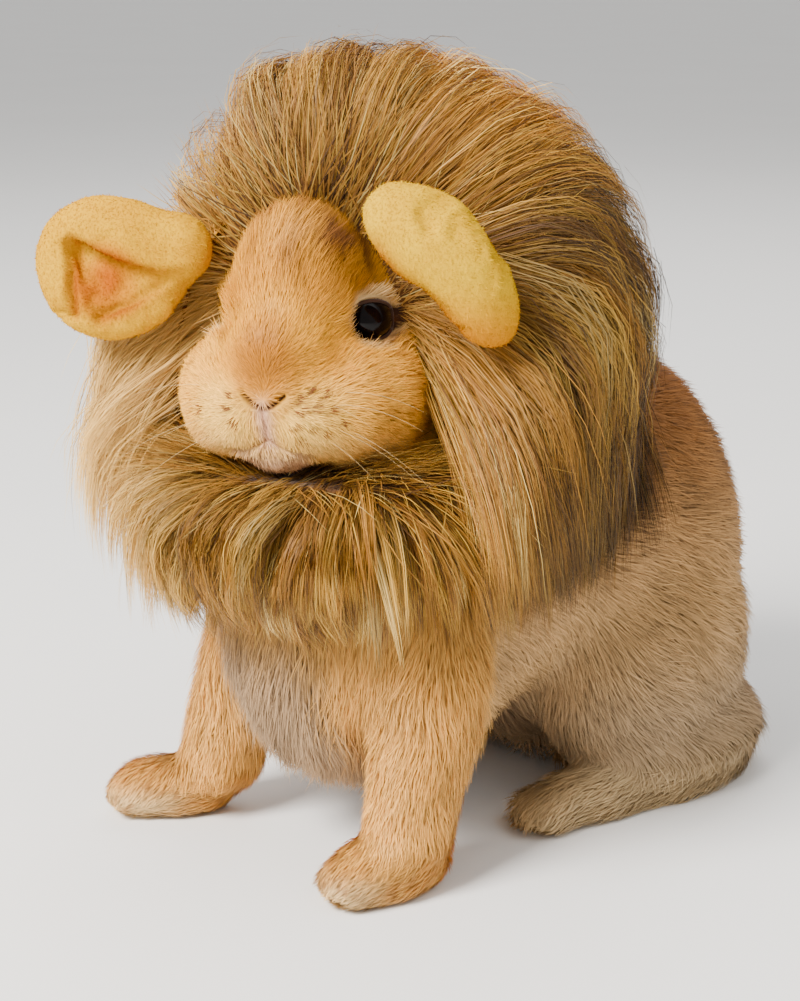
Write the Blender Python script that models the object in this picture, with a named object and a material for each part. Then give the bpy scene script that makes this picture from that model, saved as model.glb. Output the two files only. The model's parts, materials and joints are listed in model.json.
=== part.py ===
"""A life-size lop rabbit sitting up on straight forelegs, wearing a long-haired lion's mane hood.

The rabbit faces -Y with its head turned to its own left, +X. Its feet stand on the floor at Z = 0.
The flesh is modelled whole, then parted into its limbs by thin cuts. The hood is made of furred
panels round the head, a hem round the neck and two stuffed plush ears.
"""

import math
import random

import bmesh
import bpy
import numpy as np
from mathutils import Matrix, Vector
from mathutils.bvhtree import BVHTree

MM = 0.001

# Driving dimensions of the rabbit. Lengths are in metres, as everywhere but in the form tables.
BODY_LENGTH = 0.222
BACK_HEIGHT = 0.156
BODY_WIDTH = 0.124
HEAD_CENTRE = Vector((0.002, -0.020, 0.162))
HEAD_TURN = math.radians(29.5)
HEAD_WIDTH = 0.078
EYE_RADIUS = 0.0087
LID_OPENING = (7.9, 7.0)
EYE_CENTRE = (1.5, 17.6, 10.5)
EYE_AXIS = Vector((0.58, 0.80, 0.10)).normalized()
FOREFOOT_SPREAD = 0.093
HIND_FOOT_LENGTH = 0.088
EAR_THICKNESS = 3.2

# Driving dimensions of the hood.
FACE_OPENING = 24
LOCK_LENGTH = 0.066
LOCK_WIDTH = 0.019
LOCK_THICKNESS = 0.005
HEM_THICKNESS = 0.0024
HEM_CLEARANCE = 0.0015
HOOD_CLEARANCE = 0.0034
# Each panel runs between two angles round the hood, in rows between two angles off its axis.
PANELS = {
    "mane_crown": ((-50, 50), (36, 134), 42),
    "mane_side_left": ((50, 128), (38, 132), 44),
    "mane_bib": ((128, 232), (34, 92), 36),
    "mane_side_right": ((-128, -50), (38, 132), 38),
}

GAP = 0.0003
FUR_SEED = 11

# How finely the flesh is meshed, in metres and triangles.
FLESH_VOXEL = 0.002
BODY_TRIANGLES = 2200
HEAD_TRIANGLES = 2900
HOLLOW_TRIANGLES = 640
CORE_TRIANGLES = 260
EAR_ROOM_TRIANGLES = 260
FLATTEN = 5
# Thicknesses below which a sliver left by a cut is closed up, in metres.
SLIVERS = (0.000001, 0.000004, 0.00001, 0.00002, 0.00004)


def clear_scene():
    for obj in list(bpy.data.objects):
        bpy.data.objects.remove(obj)


def make_material(name, colour, roughness):
    material = bpy.data.materials.new(name)
    material.use_nodes = True
    shader = material.node_tree.nodes["Principled BSDF"]
    shader.inputs["Base Color"].default_value = (*colour, 1.0)
    shader.inputs["Roughness"].default_value = roughness
    shader.inputs["Metallic"].default_value = 0.0
    return material


def make_object(name, bm):
    """Wraps a bmesh in an object of the scene."""
    mesh = bpy.data.meshes.new(name)
    bmesh.ops.recalc_face_normals(bm, faces=bm.faces)
    if bm.calc_volume(signed=True) < 0:
        bmesh.ops.reverse_faces(bm, faces=bm.faces)
    bm.to_mesh(mesh)
    bm.free()
    obj = bpy.data.objects.new(name, mesh)
    bpy.context.scene.collection.objects.link(obj)
    return obj


def copy_of(obj, name):
    twin = bpy.data.objects.new(name, obj.data.copy())
    bpy.context.scene.collection.objects.link(twin)
    return twin


def apply_modifiers(obj):
    """Replaces the object's mesh by its evaluated one."""
    bpy.context.view_layer.update()
    graph = bpy.context.evaluated_depsgraph_get()
    mesh = bpy.data.meshes.new_from_object(obj.evaluated_get(graph))
    obj.modifiers.clear()
    obj.data = mesh


def combine(obj, other, operation, solver="EXACT"):
    """One applied Boolean of obj with the other object, which stays."""
    modifier = obj.modifiers.new("combine", "BOOLEAN")
    modifier.operation = operation
    modifier.solver = solver
    modifier.object = other
    apply_modifiers(obj)


def combine_all(obj, others, operation):
    """One applied Boolean of obj with many objects, which are then removed."""
    collection = bpy.data.collections.new("operands")
    for other in others:
        collection.objects.link(other)
    modifier = obj.modifiers.new("combine", "BOOLEAN")
    modifier.operation = operation
    modifier.solver = "MANIFOLD"
    modifier.operand_type = "COLLECTION"
    modifier.collection = collection
    apply_modifiers(obj)
    for other in others:
        bpy.data.objects.remove(other)
    bpy.data.collections.remove(collection)


def remesh(obj, voxel, smoothing=0):
    modifier = obj.modifiers.new("fuse", "REMESH")
    modifier.mode = "VOXEL"
    modifier.voxel_size = voxel
    if smoothing:
        soften = obj.modifiers.new("soften", "SMOOTH")
        soften.factor = 0.5
        soften.iterations = smoothing
    apply_modifiers(obj)


def thin_out(obj, triangles):
    """Decimates the mesh to about this many triangles."""
    modifier = obj.modifiers.new("thin", "DECIMATE")
    modifier.ratio = min(1.0, triangles / (2 * len(obj.data.polygons)))
    modifier.use_collapse_triangulate = True
    apply_modifiers(obj)


def swell(obj, distance):
    """Moves every point out along its normal."""
    for vertex, normal in zip(obj.data.vertices, [n.vector.copy() for n in obj.data.vertex_normals]):
        vertex.co += normal * distance
    obj.data.update()


def swollen(obj, name, distance, triangles):
    """A coarse copy of a body, grown all round."""
    grown = copy_of(obj, name)
    swell(grown, distance)
    remesh(grown, 0.0035, 2)
    thin_out(grown, triangles)
    return grown


def flatten(obj, degrees):
    """Joins faces that lie almost in one plane, then splits them into triangles again."""
    bm = bmesh.new()
    bm.from_mesh(obj.data)
    bmesh.ops.dissolve_limit(bm, angle_limit=math.radians(degrees), verts=bm.verts, edges=bm.edges)
    bmesh.ops.triangulate(bm, faces=bm.faces, ngon_method="BEAUTY")
    bm.to_mesh(obj.data)
    bm.free()


def keep_largest(obj):
    """Leaves only the closed surface with the most volume."""
    bm = bmesh.new()
    bm.from_mesh(obj.data)
    bmesh.ops.triangulate(bm, faces=bm.faces)
    islands = []
    seen = set()
    for start in bm.faces:
        if start in seen:
            continue
        island = []
        front = [start]
        seen.add(start)
        while front:
            face = front.pop()
            island.append(face)
            for edge in face.edges:
                for other in edge.link_faces:
                    if other not in seen:
                        seen.add(other)
                        front.append(other)
        islands.append(island)
    islands.sort(key=lambda island: abs(sum(volume_under(face) for face in island)))
    for island in islands[:-1]:
        bmesh.ops.delete(bm, geom=island, context="FACES")
    loose = [vertex for vertex in bm.verts if not vertex.link_faces]
    bmesh.ops.delete(bm, geom=loose, context="VERTS")
    bm.to_mesh(obj.data)
    bm.free()


def is_closed(bm):
    """Whether each edge has two faces and no face appears twice."""
    corners = {frozenset(vertex.index for vertex in face.verts) for face in bm.faces}
    if len(corners) != len(bm.faces):
        return False
    return all(len(edge.link_faces) == 2 for edge in bm.edges)


def tidy_slivers(obj):
    """Closes up edges and triangles thinner than the distance, where the mesh stays closed."""
    for distance in SLIVERS:
        bm = bmesh.new()
        bm.from_mesh(obj.data)
        bmesh.ops.dissolve_degenerate(bm, dist=distance, edges=bm.edges)
        bmesh.ops.triangulate(bm, faces=bm.faces)
        bm.verts.index_update()
        if is_closed(bm):
            bm.to_mesh(obj.data)
        bm.free()


def volume_under(face):
    a, b, c = (vertex.co for vertex in face.verts)
    return a.dot(b.cross(c)) / 6


def remove(*objects):
    for obj in objects:
        bpy.data.objects.remove(obj)


# The head's own frame has the axes forward, left and up.
FORWARD = Vector((math.sin(HEAD_TURN), -math.cos(HEAD_TURN), 0))
LEFT = Vector((math.cos(HEAD_TURN), math.sin(HEAD_TURN), 0))
UP = Vector((0, 0, 1))
HEAD_FRAME = Matrix((FORWARD, LEFT, UP)).transposed().to_4x4()
HEAD_FRAME.translation = HEAD_CENTRE


def at_head(forward, left, up):
    """The point of the world that the head's frame puts here, in millimetres of that frame."""
    return HEAD_FRAME @ Vector((forward * MM, left * MM, up * MM))


def ball_matrix(centre, radii, turn=(0, 0, 0)):
    """Places a unit ball. Centre and radii are in millimetres, turn in degrees."""
    spin = Matrix.Rotation(math.radians(turn[2]), 4, "Z")
    spin = spin @ Matrix.Rotation(math.radians(turn[1]), 4, "Y")
    spin = spin @ Matrix.Rotation(math.radians(turn[0]), 4, "X")
    place = Matrix.Translation(Vector(centre) * MM)
    return place @ spin @ Matrix.Diagonal((*(r * MM for r in radii), 1))


def add_ball(bm, matrix, segments=28, rings=18):
    bmesh.ops.create_uvsphere(bm, u_segments=segments, v_segments=rings, radius=1, matrix=matrix)


def ball(name, matrix, segments=28, rings=18):
    bm = bmesh.new()
    add_ball(bm, matrix, segments, rings)
    return make_object(name, bm)


def hull(name, balls, extra=0.0, frame=None):
    """The convex hull of balls given as (centre, radii) in millimetres, grown by extra metres."""
    frame = frame or Matrix.Identity(4)
    bm = bmesh.new()
    for centre, radii in balls:
        grown = [r + extra / MM for r in radii]
        add_ball(bm, frame @ ball_matrix(centre, grown), 8, 6)
    found = bmesh.ops.convex_hull(bm, input=bm.verts)
    inside = [v for v in found["geom_interior"] if isinstance(v, bmesh.types.BMVert)]
    bmesh.ops.delete(bm, geom=inside, context="VERTS")
    kept = [g for g in found["geom"] if isinstance(g, bmesh.types.BMFace)]
    loose = [face for face in bm.faces if face not in set(kept)]
    bmesh.ops.delete(bm, geom=loose, context="FACES_ONLY")
    return make_object(name, bm)


def loft(bm, rings):
    """Joins rings of points into a closed tube with flat ends."""
    made = [[bm.verts.new(point) for point in ring] for ring in rings]
    count = len(rings[0])
    for lower, upper in zip(made, made[1:]):
        for k in range(count):
            n = (k + 1) % count
            bm.faces.new((lower[k], lower[n], upper[n], upper[k]))
    bm.faces.new(made[0][::-1])
    bm.faces.new(made[-1])


def add_tube(bm, stations, sides=20):
    """A closed tube through (centre, across, along) stations given in millimetres."""
    centres = [Vector(centre) * MM for centre, _, _ in stations]
    rings = []
    for index, (_, across, along) in enumerate(stations):
        before = centres[max(index - 1, 0)]
        after = centres[min(index + 1, len(centres) - 1)]
        axis = (after - before).normalized()
        side = Vector((0, 1, 0)).cross(axis).normalized()
        front = axis.cross(side).normalized()
        ring = []
        for k in range(sides):
            angle = 2 * math.pi * k / sides
            across_part = side * (math.cos(angle) * across * MM)
            along_part = front * (math.sin(angle) * along * MM)
            ring.append(centres[index] + across_part + along_part)
        rings.append(ring)
    loft(bm, rings)


# The flesh with its short coat, as balls and tubes in millimetres.
# A ball is (centre, radii, turn in degrees).
def torso_forms():
    half = BODY_WIDTH * 500
    back = BACK_HEIGHT * 1000
    rear = BODY_LENGTH * 1000 - 56
    forms = [
        ((0, rear - 60, back * 0.505), (half, 56, back * 0.485), (6, 0, 0)),
        ((0, rear - 84, back * 0.57), (half * 0.93, 60, back * 0.435), (0, 0, 0)),
        ((0, 48, back * 0.61), (half * 0.85, 58, back * 0.39), (-4, 0, 0)),
        ((0, 6, back * 0.60), (half * 0.76, 44, back * 0.40), (-6, 0, 0)),
        ((2, -12, back * 0.52), (half * 0.62, 32, back * 0.29), (0, 0, 0)),
        ((0, 14, back * 0.37), (half * 0.62, 50, back * 0.235), (0, 0, 0)),
    ]
    for side in (-1, 1):
        forms.append(((side * 45, 107, 15), (25, 43, 32), (0, 0, 0)))
    return forms


def thigh_form(side):
    return ((side * 40, 98, 50), (29, 47, 46), (12, 0, 0))


def hind_foot_forms(side):
    length = HIND_FOOT_LENGTH * 500
    forms = [((side * 50, 76, 8), (13, length, 12), (0, 0, -8 * side))]
    for toe in (-8, -2.8, 2.8, 8):
        forms.append(((side * 45 + toe, 39 + abs(toe) * 0.5, 7), (3.6, 9, 6.6), (0, 0, -6 * side)))
    return forms


def tail_form():
    return ((0, 164, 42), (14, 14, 22), (-12, 0, 0))


def foreleg_stations(side):
    """The left leg stands straighter. The right one is set forward and out."""
    if side > 0:
        return [
            ((30, 2, 104), 12, 16), ((35, -1, 90), 17, 22.5), ((41, -6, 66), 17, 20),
            ((43, -12, 44), 14.5, 16.5), ((43, -17, 24), 13.5, 15), ((43, -20, 11), 13, 14),
        ]
    return [
        ((-26, 2, 104), 12, 16), ((-29, -4, 90), 16, 22), ((-33, -10, 66), 16.5, 20.5),
        ((-37, -16, 44), 14.5, 17), ((-41, -21, 24), 13.5, 15), ((-43, -23, 11), 12.5, 14),
    ]


def forefoot_forms(side):
    foot_x = FOREFOOT_SPREAD * 500
    if side > 0:
        x, y, lean = foot_x - 4, -27, -14
    else:
        x, y, lean = -foot_x - 7, -33, -40
    forms = [((x, y, 8.5), (13, 23, 11.5), (0, 0, lean))]
    turn = math.radians(lean)
    for toe in (-8.2, -2.8, 2.8, 8.2):
        ahead = -16 + abs(toe) * 0.5
        toe_x = x + toe * math.cos(turn) - ahead * math.sin(turn)
        toe_y = y + toe * math.sin(turn) + ahead * math.cos(turn)
        forms.append(((toe_x, toe_y, 7), (3.7, 9, 6.4), (0, 0, lean)))
    return forms


# Forms of the head in millimetres of its own frame: (centre, radii).
def head_forms():
    half = HEAD_WIDTH * 500
    forms = [
        ((-12, 0, 12), (31, 26, 31)),
        ((7, 0, 18), (25, 21, 26.5)),
        ((10, 0, -16), (25, 22, 15)),
        ((24, 0, -6), (20, 20, 17)),
        ((24, 0, 5), (20, 16.5, 13.5)),
        ((39.5, 0, -6), (5, 6.5, 4.6)),
        ((26, 0, -23.5), (12, 11, 7.5)),
    ]
    for side in (-1, 1):
        forms.append(((3, side * (half - 19), -12), (26, 19, 20)))
        forms.append(((30, side * 9.5, -12.5), (13, 13.5, 12.5)))
        forms.append(((17, side * 16, -12), (20, 17, 18)))
        forms.append(((12, side * 16, 19), (10, 4.5, 4.5)))
        forms.append(((14, side * 15, -1), (14, 8.5, 8.5)))
        forms.append(((-13, side * 18, 7), (12, 12.5, 20)))
    return forms


def neck_stations():
    low = Vector((2, 14, 120))
    top = HEAD_CENTRE / MM + Vector((-3, 12, 2))
    return [(tuple(low), 34, 38), (tuple((low + top) / 2), 31, 33), (tuple(top), 28, 28)]


def whole_flesh():
    """All of the flesh as one skin, its forms fused by a voxel remesh and smoothed."""
    bm = bmesh.new()
    balls = torso_forms() + [tail_form()]
    for side in (-1, 1):
        balls += [thigh_form(side)] + hind_foot_forms(side) + forefoot_forms(side)
        add_tube(bm, foreleg_stations(side))
    for centre, radii, turn in balls:
        add_ball(bm, ball_matrix(centre, radii, turn))
    for centre, radii in head_forms():
        add_ball(bm, HEAD_FRAME @ ball_matrix(centre, radii))
    add_tube(bm, neck_stations())
    whole = make_object("flesh", bm)
    remesh(whole, FLESH_VOXEL, 12)
    bm = bmesh.new()
    bmesh.ops.create_cube(bm, size=1, matrix=Matrix.Translation((0, 0, 0.5006)))
    floor = make_object("above_floor", bm)
    combine(whole, floor, "INTERSECT")
    remove(floor)
    whole.data.transform(Matrix.Translation((0, 0, -0.0006)))
    return whole


def trim(obj, region, gap_region):
    """Parts the obj: returns the piece inside the region and cuts the grown region from the obj."""
    piece = copy_of(obj, region.name)
    combine(piece, region, "INTERSECT")
    keep_largest(piece)
    combine(obj, gap_region, "DIFFERENCE")
    keep_largest(obj)
    remove(region, gap_region)
    return piece


# The regions that part the flesh, each the hull of a few balls.
def limb_regions():
    regions = {"tail": [((0, 182, 44), (20, 24, 27))]}
    for side, name in ((1, "left"), (-1, "right")):
        foot_x = side * 52
        regions["hind_foot_" + name] = [((foot_x, 76, 2), (22, 56, 19))]
        regions["hind_leg_" + name] = [((side * 50, 102, 44), (30, 54, 56))]
        shin = ((side * 42, -14, 34), (21, 24, 36))
        shoulder = ((side * 36, -2, 82), (22, 25, 22))
        if side > 0:
            regions["foreleg_" + name] = [((42, -28, 2), (24, 34, 22)), shin, shoulder]
        else:
            regions["foreleg_" + name] = [((-54, -34, 2), (32, 32, 22)), shin, shoulder]
    return regions


HEAD_REGION = [((-1, 0, 4), (54, 47, 48))]
NECK_REGION = [((-8, 0, -14), (34, 40, 44)), ((-24, 0, -24), (30, 38, 38))]


def surface_point(tree, forward, left, up):
    """Where a line along the head's forward axis first meets the flesh."""
    hit = tree.ray_cast(at_head(forward + 60, left, up), -FORWARD)
    return hit[0]


def add_groove(bm, points, radius, sides=5):
    """A thin tube through points of the world, to be cut out or added."""
    rings = []
    for index, point in enumerate(points):
        before = points[max(index - 1, 0)]
        after = points[min(index + 1, len(points) - 1)]
        axis = (after - before).normalized()
        side = axis.orthogonal().normalized()
        front = axis.cross(side)
        ring = []
        for k in range(sides):
            angle = 2 * math.pi * k / sides
            ring.append(point + (side * math.cos(angle) + front * math.sin(angle)) * radius)
        rings.append(ring)
    loft(bm, rings)


def eye_centre(side):
    forward, left, up = EYE_CENTRE
    return at_head(forward, left * side, up)


def eye_matrix(side, radius):
    return Matrix.Translation(eye_centre(side)) @ Matrix.Scale(radius, 4)


def eye_axes(side):
    """The eye's outward axis, its axis along the lids, and the one across them."""
    out = HEAD_FRAME.to_3x3() @ Vector((EYE_AXIS.x, EYE_AXIS.y * side, EYE_AXIS.z))
    across = out.cross(UP).cross(out).normalized()
    along = across.cross(out).normalized()
    return out, along, across


def add_lids(bm, side, steps=18, sides=5):
    """Both lids of one eye, as a ring that hugs the eyeball round its opening."""
    out, along, across = eye_axes(side)
    rings = []
    for step in range(steps):
        angle = 2 * math.pi * step / steps
        offset = along * (math.cos(angle) * LID_OPENING[0] * MM)
        offset += across * (math.sin(angle) * LID_OPENING[1] * MM)
        depth = math.sqrt(max(EYE_RADIUS ** 2 - offset.length_squared, 0))
        spoke = (offset + out * depth).normalized()
        centre = eye_centre(side) + spoke * (EYE_RADIUS + 0.4 * MM)
        outward = (spoke - out * spoke.dot(out)).normalized()
        ring = []
        for k in range(sides):
            turn = 2 * math.pi * k / sides
            spot = centre + (spoke * math.cos(turn) + outward * math.sin(turn)) * 1.4 * MM
            ring.append(bm.verts.new(spot))
        rings.append(ring)
    for step in range(steps):
        here, ahead = rings[step], rings[(step + 1) % steps]
        for k in range(sides):
            n = (k + 1) % sides
            bm.faces.new((here[k], here[n], ahead[n], ahead[k]))


def eye_opening(side, steps=18):
    """A cone that widens outwards from the lids' opening, which clears the flesh off the eyeball."""
    out, along, across = eye_axes(side)
    rings = []
    for depth, grow in ((3.2, 0.0), (12, 6.5)):
        ring = []
        for step in range(steps):
            angle = 2 * math.pi * step / steps
            wide = along * (math.cos(angle) * (LID_OPENING[0] + grow))
            high = across * (math.sin(angle) * (LID_OPENING[1] + grow))
            ring.append(eye_centre(side) + (wide + high + out * depth) * MM)
        rings.append(ring)
    bm = bmesh.new()
    loft(bm, rings)
    return make_object("opening", bm)


def detail_head(head):
    """Adds the lids, and cuts the eye sockets, the nostrils, the cleft of the lip and the mouth."""
    tree = BVHTree.FromObject(head, bpy.context.evaluated_depsgraph_get())
    for side in (-1, 1):
        opening = eye_opening(side)
        combine(head, opening, "DIFFERENCE", "MANIFOLD")
        remove(opening)
        bm = bmesh.new()
        add_lids(bm, side)
        lids = make_object("lids", bm)
        combine(head, lids, "UNION", "MANIFOLD")
        remove(lids)
        socket = ball("socket", eye_matrix(side, EYE_RADIUS + GAP), 16, 10)
        combine(head, socket, "DIFFERENCE", "MANIFOLD")
        remove(socket)
    lines = []
    for side in (-1, 1):
        nostril = [(side * 0.9, -8.4), (side * 2.9, -7.4), (side * 4.6, -5.8)]
        mouth = [(side * 0.2, -18.6), (side * 3.5, -20.8), (side * 7.5, -22.4), (side * 12, -22.8)]
        lines += [(nostril, 0.75), (mouth, 0.8)]
    lines.append(([(0, -8.6), (0, -13), (0, -19)], 0.7))
    for line, radius in lines:
        bm = bmesh.new()
        add_groove(bm, [surface_point(tree, 0, left, up) for left, up in line], radius * MM)
        groove = make_object("groove", bm)
        combine(head, groove, "DIFFERENCE", "MANIFOLD")
        remove(groove)
    keep_largest(head)


def make_ear(side):
    """A lop ear: a long leaf that hangs from the crown beside the cheek, cupped towards it."""
    stations = [
        ((-15, 15, 38), 7, 0.0), ((-16, 27, 39), 9, 0.5), ((-14, 40, 25), 14, 1.8), ((-11, 45, 2), 18, 3.0),
        ((-10, 46, -18), 19.5, 3.2), ((-10, 44, -38), 15, 2.2), ((-12, 41, -53), 4, 0.4),
    ]
    bm = bmesh.new()
    rings = []
    for index, ((f, l, u), half, cup) in enumerate(stations):
        before = Vector(stations[max(index - 1, 0)][0])
        after = Vector(stations[min(index + 1, len(stations) - 1)][0])
        outward = (after - before).cross(Vector((1, 0, 0))).normalized()
        if outward.y < 0:
            outward = -outward
        outer, inner = [], []
        for k in range(7):
            s = -1 + k / 3
            thick = EAR_THICKNESS / 2 * math.sqrt(max(1 - s * s, 0.0)) + 0.35
            middle = Vector((f, l, u)) + Vector((1, 0, 0)) * (s * half) - outward * (cup * s * s)
            outer.append(middle + outward * thick)
            inner.append(middle - outward * thick)
        ring = outer + inner[::-1]
        rings.append([at_head(p.x, p.y * side, p.z) for p in ring])
    loft(bm, rings)
    ear = make_object("ear_left" if side > 0 else "ear_right", bm)
    remesh(ear, 0.0011, 2)
    thin_out(ear, 260)
    return ear


# The outline that the hood's hair fills, as balls in millimetres.
MANE_OUTLINE = [
    (Vector((-2, 10, 166)), Vector((82, 94, 84))),
    (Vector((2, -12, 126)), Vector((80, 72, 52))),
]
# The hood's cloth and underfur, which reach half way to the tips of the hair.
MANE_CORE = [
    ((0, 8, 164), (57, 60, 59), (0, 0, 0)),
    ((0, -20, 122), (50, 38, 32), (0, 0, 0)),
    ((0, 14, 134), (63, 48, 36), (0, 0, 0)),
    ((0, 46, 162), (44, 34, 32), (0, 0, 0)),
]
# The hood's axis runs out of the face opening, half way between the head's and the body's.
HOOD_TURN = math.radians(24)
HOOD_TILT = math.radians(14)
HOOD_AXIS = Vector((math.sin(HOOD_TURN), -math.cos(HOOD_TURN), math.tan(HOOD_TILT))).normalized()
HOOD_LEFT = Vector((math.cos(HOOD_TURN), math.sin(HOOD_TURN), 0))
HOOD_UP = HOOD_LEFT.cross(-HOOD_AXIS).normalized()
HOOD_SPIN = HOOD_UP.cross(HOOD_LEFT)
HOOD_POINT = Vector((0.001, -0.008, 0.156))


def mane_core():
    """The hood without its long hair: balls fused, with the face opening cut by two slanting blocks."""
    bm = bmesh.new()
    for centre, radii, turn in MANE_CORE:
        add_ball(bm, ball_matrix(centre, radii, turn))
    core = make_object("core", bm)
    remesh(core, 0.004, 3)
    for side in (-1, 1):
        bm = bmesh.new()
        place = HEAD_FRAME @ Matrix.Translation((0.020, 0, -0.034))
        place = place @ Matrix.Rotation(math.radians(-FACE_OPENING * side), 4, "Z")
        place = place @ Matrix.Rotation(math.radians(-9), 4, "Y")
        place = place @ Matrix.Translation((0.1, 0, 0.1)) @ Matrix.Diagonal((0.2, 0.4, 0.2, 1))
        bmesh.ops.create_cube(bm, size=1, matrix=place)
        block = make_object("block", bm)
        combine(core, block, "DIFFERENCE")
        remove(block)
    thin_out(core, CORE_TRIANGLES)
    clear_face(core)
    return core


def clear_face(piece):
    """Keeps hair and cloth from in front of the face and off the eyes."""
    rooms = [hull("face_room", [((18, 0, 4), (14, 33, 36)), ((60, 0, 6), (10, 46, 46))], 0, HEAD_FRAME)]
    for side in (-1, 1):
        sight = [((-1, side * 24, 11), (12, 11, 12)), ((30, side * 50, 13), (20, 20, 20))]
        rooms.append(hull("sight", sight, 0, HEAD_FRAME))
    for room in rooms:
        combine(piece, room, "DIFFERENCE", "MANIFOLD")
        remove(room)


def smooth_step(low, high, value):
    t = min(max((value - low) / (high - low), 0.0), 1.0)
    return t * t * (3 - 2 * t)


def hood_angle(point):
    """The angle round the hood's axis, in degrees from the crown towards the animal's left."""
    offset = point - HOOD_POINT
    return math.degrees(math.atan2(offset.dot(HOOD_LEFT), offset.dot(HOOD_UP)))


def turn_about_hood(point, degrees):
    spin = Matrix.Rotation(math.radians(degrees), 3, HOOD_SPIN)
    return HOOD_POINT + spin @ (point - HOOD_POINT)


def lie_at(point, normal):
    """The way the hair lies: out from the rim, then back over the hood, and down below the cheeks."""
    offset = point - HOOD_POINT
    ahead = offset.dot(HOOD_AXIS)
    radial = (offset - HOOD_AXIS * ahead).normalized()
    back = smooth_step(0.012, -0.060, ahead)
    below = smooth_step(0.010, -0.045, offset.z)
    lie = radial * (1.1 - back) - HOOD_AXIS * (0.35 + back) * (1 - 0.85 * below)
    lie -= UP * (0.1 + 1.3 * below + 0.35 * back)
    lie -= normal * lie.dot(normal)
    return lie.normalized()


def rim_share(point):
    """How near a root is to the rim beside and above the face, where the hair stands out."""
    ahead = (point - HOOD_POINT).dot(HOOD_AXIS)
    above = smooth_step(-0.045, -0.015, point.z - HOOD_POINT.z)
    return above * smooth_step(-0.025, 0.010, ahead)


def inside_outline(point):
    """Draws a point that lies outside the mane's outline back to it."""
    nearest = None
    for centre, radii in MANE_OUTLINE:
        offset = point / MM - centre
        reach = math.sqrt(sum((offset[i] / radii[i]) ** 2 for i in range(3)))
        if reach <= 1:
            return point
        drawn = (centre + offset / reach) * MM
        if nearest is None or (drawn - point).length < (nearest - point).length:
            nearest = drawn
    return nearest


def lock_path(root, normal, length, dice, flesh_tree, limits):
    """The middle line of one lock, from its root in the core to its tip."""
    steps = 4
    points = [root - normal * 0.004]
    here = root.copy()
    lie = lie_at(root, normal)
    sideways = normal.cross(lie)
    lie = (lie + sideways * dice.uniform(-0.28, 0.28)).normalized()
    rise = dice.uniform(0.45, 0.9) + 1.2 * rim_share(root)
    low, high = limits
    for step in range(steps):
        share = (step + 0.5) / steps
        lift = rise * (1 - 1.35 * share)
        heading = (lie * 0.6 + lie_at(here, normal) * 0.4 + normal * lift - UP * 0.25 * share).normalized()
        here = inside_outline(here + heading * (length / steps))
        spot, face_normal, _, _ = flesh_tree.find_nearest(here)
        if (here - spot).dot(face_normal) < 0.0015:
            here = spot + face_normal * 0.0015
        away = max((here - HOOD_POINT).length, 0.03)
        margin = math.degrees((LOCK_WIDTH / 2 + 0.001) / away)
        angle = hood_angle(here) % 360
        middle = (low + high) / 2 % 360
        off = (angle - middle + 180) % 360 - 180
        room = (high - low) / 2 - margin
        if abs(off) > room:
            here = turn_about_hood(here, math.copysign(room, off) - off)
        points.append(here.copy())
    return points


def make_lock(points, normal, width, thickness):
    """A flat tapered blade with a ridge along its outer side."""
    widths = (0.85, 1.0, 0.95, 0.6)
    bm = bmesh.new()
    rings = []
    for index, share in enumerate(widths):
        along = (points[index + 1] - points[max(index - 1, 0)]).normalized()
        side = along.cross(normal).normalized()
        out = side.cross(along)
        here = points[index]
        rings.append([
            bm.verts.new(here - side * (width * share / 2)),
            bm.verts.new(here + out * (thickness * (0.4 + 0.6 * share))),
            bm.verts.new(here + side * (width * share / 2)),
        ])
    tip = bm.verts.new(points[-1])
    for lower, upper in zip(rings, rings[1:]):
        for k in range(3):
            n = (k + 1) % 3
            bm.faces.new((lower[k], lower[n], upper[n], upper[k]))
    for k in range(3):
        bm.faces.new((rings[-1][k], rings[-1][(k + 1) % 3], tip))
    bm.faces.new(rings[0][::-1])
    return make_object("lock", bm)


def lock_roots(core, flesh_tree, around, off_axis, count, dice):
    """Spreads roots in rows over one panel of the core, where it stands clear of the flesh."""
    tree = BVHTree.FromObject(core, bpy.context.evaluated_depsgraph_get())
    low, high = around
    first, last = off_axis
    rows = 6
    tilts = [first + (last - first) * (row + 0.5) / rows for row in range(rows)]
    spread = sum(math.sin(math.radians(tilt)) for tilt in tilts)
    roots = []
    for row, tilt in enumerate(tilts):
        in_row = max(round(count * math.sin(math.radians(tilt)) / spread), 2)
        for k in range(in_row):
            share = (k + 0.5 + dice.uniform(-0.22, 0.22) + 0.5 * (row % 2) - 0.25) / in_row
            turn = Matrix.Rotation(math.radians(low + (high - low) * share), 3, HOOD_SPIN)
            lean = math.radians(tilt + dice.uniform(-4, 4))
            ray = HOOD_AXIS * math.cos(lean) + (turn @ HOOD_UP) * math.sin(lean)
            spot, normal, _, _ = tree.ray_cast(HOOD_POINT + ray * 0.2, -ray)
            if spot is None or (spot - HOOD_POINT).dot(ray) < 0.01:
                continue
            near, face_normal, _, _ = flesh_tree.find_nearest(spot)
            if (spot - near).dot(face_normal) > 0.001:
                roots.append((spot, normal))
    return roots


def wedge(name, low, high):
    """The sector of space between two angles round the hood's axis, drawn in by the gap."""
    half = math.radians((high - low) / 2)
    middle = math.radians((high + low) / 2)
    spin = Matrix.Rotation(middle, 3, HOOD_SPIN)
    centre = spin @ HOOD_UP
    across = spin @ HOOD_LEFT
    apex = HOOD_POINT + centre * (GAP * 0.6 / math.sin(half))
    corners = [apex]
    for k in range(7):
        turn = half * (k / 3 - 1)
        corners.append(apex + (centre * math.cos(turn) + across * math.sin(turn)) * 0.3)
    bm = bmesh.new()
    loft(bm, [[corner + HOOD_AXIS * along for corner in corners] for along in (-0.3, 0.3)])
    return make_object(name, bm)


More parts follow.
